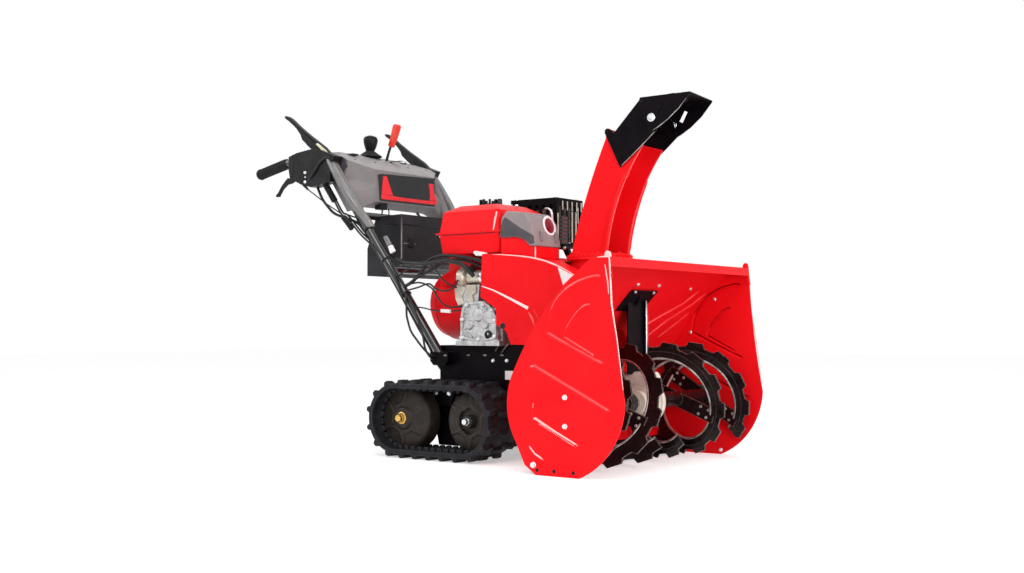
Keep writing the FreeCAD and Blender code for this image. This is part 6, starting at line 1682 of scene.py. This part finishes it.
# %% Cables along the bars, with ties
bundle = []
for side in (-1, 1):
    for offset, lift in ((0, 0), (6, 7)):
        bundle.append(([(-436, side * (240 - offset), 822 + lift),
            (-404, side * (238 - offset), 776 + lift), (-380, side * (236 - offset), 764 + lift),
            (-324, side * (230 - offset), 706 + lift), (-264, side * (222 - offset), 658 + lift),
            (-224, side * (216 - offset), 614 + lift), (-190, side * (212 - offset), 566 + lift),
            (-160, side * (208 - offset), 500 + lift)], 3.1, (0, side, 0)))
for line, thickness in (
        ([(-562, 264, 881), (-520, 266, 856), (-450, 264, 813), (-384, 258, 774), (-350, 250, 742)], 2.0),
        ([(-424, 268, 962), (-438, 273, 966), (-452, 274, 962), (-476, 274, 946), (-497, 274, 922),
            (-517, 272, 905), (-530, 266, 896)], 4.0)):
    bundle += [([(x, side * y, z) for x, y, z in line], thickness, (0, side, 0)) for side in (-1, 1)]
bundle += [
    ([(-145, -205, 440), (-128, -205, 394), (-102, -204, 363), (-75, -203, 336), (-52, -200, 318),
        (-40, -178, 306)], 3.4, RIGHT),
    ([(-104, -203, 440), (-79, -203, 380), (-69, -203, 340), (-54, -198, 312), (-44, -172, 294)], 3.4,
        RIGHT),
    ([(-150, -206, 520), (-146, -206, 480), (-145, -205, 440)], 3.4, RIGHT),
    ([(-150, -204, 510), (-120, -204, 474), (-104, -203, 440)], 3.4, RIGHT)]
sweep("control_bundle", bundle, ROUND, CABLE_SHEATH, 9.0, True)
TIE = pattern(turned_part("CableTie", [(16.4, -3), (17.4, -3), (17.8, 0), (17.4, 3), (16.4, 3), (16.4, -3)],
    steps=24))
bar_low, bar_high = Vector((-31, 162, 305)), Vector((-463, 252, 980))
bar_way = (bar_high - bar_low).normalized()
ties = []
for side in (-1, 1):
    for share in (0.30, 0.47, 0.62, 0.74):
        spot = bar_low.lerp(bar_high, share)
        ties.append(((spot.x, side * spot.y, spot.z), (bar_way.x, side * bar_way.y, bar_way.z), 1.0))
place_copies("cable_ties", TIE, ties, BLACK_MOULDING)
slab("cable_joiner", on_y(-224, [(-212, 664), (-197, 669), (-184, 648), (-200, 640)]), (0, 11, 0),
    WHITE_AND_PAINTED_HIGHLIGHT, "gray_plastic", 2.0, 3)
slab("cable_socket", on_y(-222, [(-234, 694), (-222, 700), (-202, 672), (-216, 665)]), (0, 10, 0),
    SLEEVE_GRAY, "gray_plastic", 2.0, 3)
print("bundle cables", len(bundle), "ties", len(ties))

# %% [markdown]
# ## Battery box
# A deep moulded case with a lid. A groove runs round under the lid, latches hold it, and shallow
# ribs stiffen its sides and rear.

# %% Lid groove, latches, ribs and painted corner highlight
battery_low, battery_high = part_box("battery_box")
case_skin = surface_of("battery_box")
lid_points, lid_normals = [], []
for x, y, way in ([(-379 + 154 * s, -300, LEFT) for s in (0.12, 0.5, 0.88)]
        + [(-170, -195, (-DIAGONAL, DIAGONAL, 0))] + [(0, y, BACK) for y in (-110, -40, 40, 110)]
        + [(-170, 195, (-DIAGONAL, -DIAGONAL, 0))] + [(-379 + 154 * s, 300, RIGHT)
        for s in (0.88, 0.5, 0.12)] + [(-434, 195, (DIAGONAL, -DIAGONAL, 0))] + [(-600, y, AHEAD)
        for y in (110, 40, -40, -110)] + [(-434, -195, (DIAGONAL, DIAGONAL, 0))]):
    place, normal, _, _ = case_skin.ray_cast(Vector((x, y, 741)) * MM, Vector(way))
    if place is not None:
        lid_points.append(tuple(place / MM))
        lid_normals.append(tuple(normal if normal.dot(Vector(way)) < 0 else -normal))
sweep("battery_lid_joint", [(lid_points, 1.6, lid_normals)], FOLD, GLOSS_BLACK, loop=True)
# A pale gray strip painted down the front corner as its highlight, and two pale lines across the front.
front_x = battery_high.x / MM
sweep("battery_corner_line", [
    (on_y(-140.2, [(front_x - 1.6, 765), (front_x - 1.6, 700), (front_x - 1.6, 640), (front_x - 1.6, 584)]),
        [1.4, 2.4, 2.4, 1.2], (0.7, -0.7, 0)),
    ([(front_x + 0.2, -133, 679.5), (front_x + 0.2, -74, 679)], 1.5, AHEAD),
    ([(front_x + 0.2, 74, 679), (front_x + 0.2, 133, 679.5)], 1.5, AHEAD)], FOLD, SLEEVE_GRAY)
for number, y in enumerate((-108, 88)):
    slab("battery_latch_" + str(number), on_y(y, [(front_x - 1, 664), (front_x + 4, 668),
        (front_x + 5, 690), (front_x + 2, 698), (front_x - 1, 700)]), (0, 24, 0), BLACK_MOULDING,
        "black_plastic", 1.2)
CASE_SIDE_Y, CASE_REAR_X = 141.6, -378.6
rib_lines = [([(x, side * CASE_SIDE_Y, 600), (x, side * CASE_SIDE_Y, 726)], 3.0, (0, side, 0))
    for side in (-1, 1) for x in (-350, -302, -254)]
rib_lines += [([(CASE_REAR_X, y, 600), (CASE_REAR_X, y, 726)], 3.0, BACK) for y in (-96, -48, 0, 48, 96)]
sweep("battery_ribs", rib_lines, PRESSED, BATTERY_CASE)
print("battery box from", short(battery_low), "to", short(battery_high))

# %% [markdown]
# ## Console
# The gray console carries a glossy plate on its front, with a red surround and a bare black
# field: a maker would print a name there, and here it stays blank. The chute joystick stands in a
# rubber boot, and the red speed lever runs in a slot.

# %% Plate surround, boots, slot and knob
PLATE_X = -331.0
PLATE_RED = finish("PlateRed", (0.80, 0.010, 0.022), (0.90, 0.022, 0.036), 30, (0.2, 0.34), 0.8, 0.01,
    gloss=0.3)
surround = [
    [(-117, 910), (-100, 910), (-69, 848), (-125, 849)],
    [(-126, 848.6), (-69, 846.6), (-17, 845), (118, 845), (160, 846), (153, 834), (-126, 832)],
    [(115, 905), (139, 906), (143, 873), (160, 848), (118, 846), (122, 861)]]
for number, outline in enumerate(surround):
    slab("plate_surround_" + str(number), on_x(PLATE_X - 5.4, outline), (6.4, 0, 0), PLATE_RED, "lever_red",
        0.3)
slab("blank_field", on_x(PLATE_X - 0.2, ((-101, 909), (113, 904), (121, 861), (117, 847), (-68, 848))),
    (0.7, 0, 0), GLOSS_BLACK, "plate_black", 0.2)
for side, word in SIDES:
    slab("console_facet_" + word, on_y(side * 222.0, ((-500, 950), (-486, 974), (-440, 976), (-404, 962),
        (-392, 936), (-410, 922), (-440, 926), (-474, 940))), (0, side * 1.2, 0), SLATE_AND_PAINTED_SHADE,
        "gray_plastic", 0.5)
# A lighter copy of the gray, painted on the console's upward faces as the light on its top.
PAINTED_LIGHT_GRAY = finish("LightMoulding", (0.27, 0.25, 0.25), (0.34, 0.32, 0.32), 70, (0.42, 0.56), 1.0,
    0.05, edge=((0.6, 0.58, 0.58), 1.6, 0.6), cells=True, gloss=0.25)
shell = rounded(from_build(welded("console"), "console_soft"), 5.0)
for item in (GRAY_MOULDING, PAINTED_LIGHT_GRAY):
    shell.data.materials.append(item)
for face in shell.data.polygons:
    face.material_index = 1 if face.normal.z > 0.8 and -480 < face.center.x / MM < -340 else 0
settle(shell, (GRAY_MOULDING, PAINTED_LIGHT_GRAY), "machine", ["console"])
console_skin = surface_of("console")
ABOVE_ALL = 1200.0


def top_of_console(x, y):
    """Where the console's skin is, straight below a point."""
    return laid_on(console_skin, (x, y, ABOVE_ALL), DOWN)[0]


stick_base = top_of_console(-504, 0)
boot_profile = [(0, -2), (42, -2), (42, 1.5), (38, 4)]
for n in range(4):
    boot_profile += [(36 - 6 * n, 5 + 4.2 * n), (33.5 - 6 * n, 7.4 + 4.2 * n),
        (30.5 - 6 * n, 6.6 + 4.2 * n)]
boot_profile += [(10, 24), (0, 24)]
turned_part("joystick_boot", boot_profile, stick_base, UP, 36, GRIP_RUBBER, "grip_rubber")
turned_part("joystick_knob", [(0, 0), (14, 0), (17, 8), (21, 18), (25, 34), (25.6, 44), (21, 52), (10, 56),
    (0, 56.5)], (-503, 0, 1019), (0.05, 0, 1), 14, BLACK_MOULDING, "black_plastic")
lever_base = top_of_console(-452, 50)
slab("speed_slot", on_z(lever_base.z + 0.6, [(-500, 42), (-500, 58), (-398, 58), (-398, 42)]), (0, 0, 1.4),
    GLOSS_BLACK, "black_plastic", 0.6)
slab("speed_grip", on_y(41, [(-459, 1041), (-441, 1034), (-422, 1070), (-408, 1104), (-411, 1112),
    (-431, 1116), (-436, 1110), (-446, 1078)]), (0, 18, 0), LEVER_RED, "lever_red", 4.5, 3,
    stands_for=["speed_lever"])
sweep("speed_rod", [(on_y(50, [(-476, 976), (-470, 994), (-462, 1016), (-450, 1044)]), [5.4, 5.0, 4.6, 4.4],
    RIGHT)], ROUND_FINE, GLOSS_BLACK)
console_screws = []
for x in (-530, -400):
    for y in (-180, -84, 84, 180):
        place, normal, _, _ = console_skin.ray_cast(Vector((x, y, ABOVE_ALL)) * MM, Vector(DOWN))
        if place is not None:
            console_screws.append((tuple(place / MM), tuple(normal if normal.z > 0 else -normal), 0.7))
place_copies("console_screws", RIVET, console_screws, BLACK_MOULDING)
switch_spot = top_of_console(-470, -120)
slab("light_switch", on_z(switch_spot.z + 0.4, [(-486, -136), (-454, -136), (-454, -106), (-486, -106)]),
    (0, 0, 6), GLOSS_BLACK, "black_plastic", 2.0, 3)
key_spot = top_of_console(-470, 130)
turned_part("key_switch", [(0, 0), (17, 0), (17, 4), (14, 6.5), (9, 6.5), (8, 3), (0, 3)], key_spot, UP, 30,
    SHAFT_STEEL, "steel")
slab("console_connector", on_x(-345, [(-116, 799), (-116, 819), (-80, 819), (-80, 799)]), (-26, 0, 0),
    BLACK_MOULDING, "black_plastic", 2.0)
sweep("console_cables", [
    ([(-352, -98, 800), (-350, -104, 782), (-356, -120, 768), (-366, -150, 764), (-380, -196, 768),
        (-392, -222, 776)], 2.6, RIGHT),
    ([(-360, -60, 806), (-352, -66, 786), (-350, -90, 776), (-360, -140, 774), (-382, -200, 782)], 2.2,
        RIGHT),
    ([(-360, 90, 806), (-352, 96, 786), (-350, 120, 776), (-360, 160, 774), (-382, 204, 780)], 2.6, LEFT),
    ([(-470, 0, 800), (-460, -20, 780), (-430, -30, 778), (-400, -20, 776)], 2.6, RIGHT)], ROUND,
        CABLE_SHEATH, 8.0, True)
print("console pieces done; skin above the stick", [round(v) for v in stick_base])

# %% [markdown]
# ## Chute and guides
# The chute is rolled and folded sheet that stands on a toothed ring. Its open front is edged with
# flanges and folded lips. Two black guides hinge on it, with washers, ears and a stop tab.

# %% Points in the chute's own directions
CHUTE_TURN = math.radians(6.5)
CHUTE_X = 456.0
CHUTE_BOLTS, BOLT_CIRCLE, CHUTE_FOOT_Z = 8, 88, 624.0
SIDEWAYS = Vector((-math.sin(CHUTE_TURN), math.cos(CHUTE_TURN), 0.0))
ONWARD = Vector((math.cos(CHUTE_TURN), math.sin(CHUTE_TURN), 0.0))


def on_chute(u, v, z):
    """A point u ahead of the chute's axis, v to its left and z above the floor."""
    return Vector((CHUTE_X, 0.0, z)) + ONWARD * u + SIDEWAYS * v


def chute_line(v, points):
    """Points (u, z) at one distance v from the chute's middle."""
    return [tuple(on_chute(u, v, z)) for u, z in points]


def arc_points(a, b, c, count=11):
    """Points (u, z) on the circle through three given points."""
    (x1, y1), (x2, y2), (x3, y3) = a, b, c
    d = 2.0 * (x1 * (y2 - y3) + x2 * (y3 - y1) + x3 * (y1 - y2))
    cx = ((x1 ** 2 + y1 ** 2) * (y2 - y3) + (x2 ** 2 + y2 ** 2) * (y3 - y1)
        + (x3 ** 2 + y3 ** 2) * (y1 - y2)) / d
    cy = ((x1 ** 2 + y1 ** 2) * (x3 - x2) + (x2 ** 2 + y2 ** 2) * (x1 - x3)
        + (x3 ** 2 + y3 ** 2) * (x2 - x1)) / d
    radius = math.hypot(x1 - cx, y1 - cy)
    start, end = math.atan2(y1 - cy, x1 - cx), math.atan2(y3 - cy, x3 - cx)
    while end - start > math.pi:
        end -= 2 * math.pi
    while start - end > math.pi:
        end += 2 * math.pi
    return [(cx + radius * math.cos(start + (end - start) * i / (count - 1)),
        cy + radius * math.sin(start + (end - start) * i / (count - 1))) for i in range(count)]


front_curve = arc_points((60, 624), (96, 784), (178, 938), 17)
rear_curve = arc_points((-60, 624), (-8, 800), (67, 964), 17)
print("front edge of the chute", [round(v) for v in front_curve[0]], "to",
    [round(v) for v in front_curve[-1]])

# %% Fold lines, lips and rear seam of the chute
# The fold lines and rear seams are swept in the lighter gloss red, a painted highlight along them.
fold_lines = []
for side in (-1, 1):
    fold_lines.append(([tuple(on_chute(u + 0.4, side * 70.6, z)) for u, z in front_curve],
        tapered(len(front_curve), 1.5, 1), tuple((ONWARD * 0.7 + SIDEWAYS * side * 0.7))))
sweep("chute_fold_lines", fold_lines, FOLD, PAINTED_RED_HIGHLIGHT, 6.0, body="chute")
roll_lines = []
for side in (-1, 1):
    points = [(u - 1.2, z) for u, z in arc_points((60, 628), (82, 740), (122, 850), 15)]
    roll_lines.append(([tuple(on_chute(u + 1.0, side * 83.6, z)) for u, z in points],
        tapered(len(points), 2.4, 1), tuple(ONWARD)))
sweep("chute_rolled_lips", roll_lines, ROUND, PAINT_RED, 6.0, True, body="chute")
seam_lines = [([tuple(on_chute(u - 0.2, side * 66.0, z)) for u, z in rear_curve],
    tapered(len(rear_curve), 2.6, 1), tuple(-ONWARD)) for side in (-1, 1)]
sweep("chute_rear_seams", seam_lines, PRESSED, PAINTED_RED_HIGHLIGHT, 6.0, body="chute")
slab("chute_stop", chute_line(-71, ((118, 850), (128, 846), (136, 868), (150, 900), (140, 900))),
    tuple(SIDEWAYS * 5.0), PAINT_RED, "red_paint", 1.0, body="chute")
foot_bolts = []
for n in range(CHUTE_BOLTS):
    angle = math.pi / 4 * n + 0.39
    spot = on_chute(BOLT_CIRCLE * math.cos(angle), BOLT_CIRCLE * math.sin(angle), CHUTE_FOOT_Z)
    foot_bolts.append((tuple(spot), UP, 0.75))
place_copies("chute_bolts", SMALL_BOLT, foot_bolts, MOULDED_RED, body="chute")
print("chute lines", len(fold_lines), "bolts", len(foot_bolts))

# %% Guide washers, ears, tabs and folded edges
WASHER = pattern(turned_part("Washer", [(0, 0), (12.5, 0), (12.5, 1.8), (11.6, 2.6), (7.4, 2.8), (7.4, 4.4),
    (6.6, 5.4), (0, 5.6)], steps=24))
place_copies("guide_washers", WASHER, [(tuple(on_chute(210, side * 86.0, 1012)), tuple(SIDEWAYS * side),
    1.0) for side in (-1, 1)] + [(tuple(on_chute(208, side * 82.8, 1013)), tuple(-SIDEWAYS * side), 0.8)
    for side in (-1, 1)], BRIGHT_ZINC, body="upper_guide")
place_copies("guide_hinge_bolts", SMALL_BOLT, [(tuple(on_chute(64, side * 78.0, 984)),
    tuple(SIDEWAYS * side), 0.8) for side in (-1, 1)], PAINT_BLACK, body="lower_guide")
place_copies("guide_tip_bolts", SMALL_BOLT, [(tuple(on_chute(178, side * 86.0, 1064)),
    tuple(SIDEWAYS * side), 0.8) for side in (-1, 1)], PAINT_BLACK, body="upper_guide")
lower_edges = []
for side in (-1, 1):
    line = arc_points((106, 876), (181, 939), (222, 976), 9)
    lower_edges.append((chute_line(side * 77.6, line), tapered(len(line), 1.2, 1), tuple(SIDEWAYS * side)))
sweep("lower_guide_edge", lower_edges, FOLD, WORN_STEEL, 5.0, body="lower_guide")
upper_lines = []
for side in (-1, 1):
    line = [(206, 970), (233, 984), (262, 1003), (297, 1033), (328, 1070)]
    upper_lines.append((chute_line(side * 85.6, line), tapered(len(line), 1.0, 1), tuple(SIDEWAYS * side)))
sweep("upper_guide_edge", upper_lines, FOLD, WORN_STEEL, 5.0, body="upper_guide")
for side, word in SIDES:
    slab("guide_ear_" + word, chute_line(side * 74.0, ((56, 978), (66, 973), (84, 978), (78, 988),
        (62, 992))), tuple(SIDEWAYS * side * 6.0), PAINT_BLACK, "black_paint", 1.0, body="lower_guide")
slab("sight_cover", chute_line(-82.4, ((222, 1018), (242, 1012), (258, 1052), (240, 1056))),
    tuple(SIDEWAYS * 0.9), PAINT_BLACK, "black_paint", 0.3, body="upper_guide")
sweep("guide_cable_bracket", [(chute_line(-20, ((224, 1074), (228, 1086), (252, 1088), (256, 1075))), 3.2,
    tuple(SIDEWAYS))], FOLD, PAINT_BLACK, body="upper_guide")
sweep("upper_guide_ribs", [([tuple(on_chute(u, v, 1076.4)) for u in (190, 240, 290, 322)],
    tapered(4, 5.0, 1), UP) for v in (-48, 0, 48)], PRESSED, PAINT_BLACK, body="upper_guide")
print("guide pieces done")

# %% [markdown]
# ## Clearing the bench
# The profiles and single bolts were only patterns for the node trees.

# %% Remove the patterns
for single in PROTOTYPES:
    bpy.data.objects.remove(single)

# %% Dress what no piece above stands for
replaced = {node for thing in bpy.data.objects for node in thing.get("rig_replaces", [])}
for node, (material, width) in DRESS.items():
    if node not in replaced:
        softened(node, material, width)
print("softened parts", len(DRESS) - len(replaced), "of", len(DRESS))
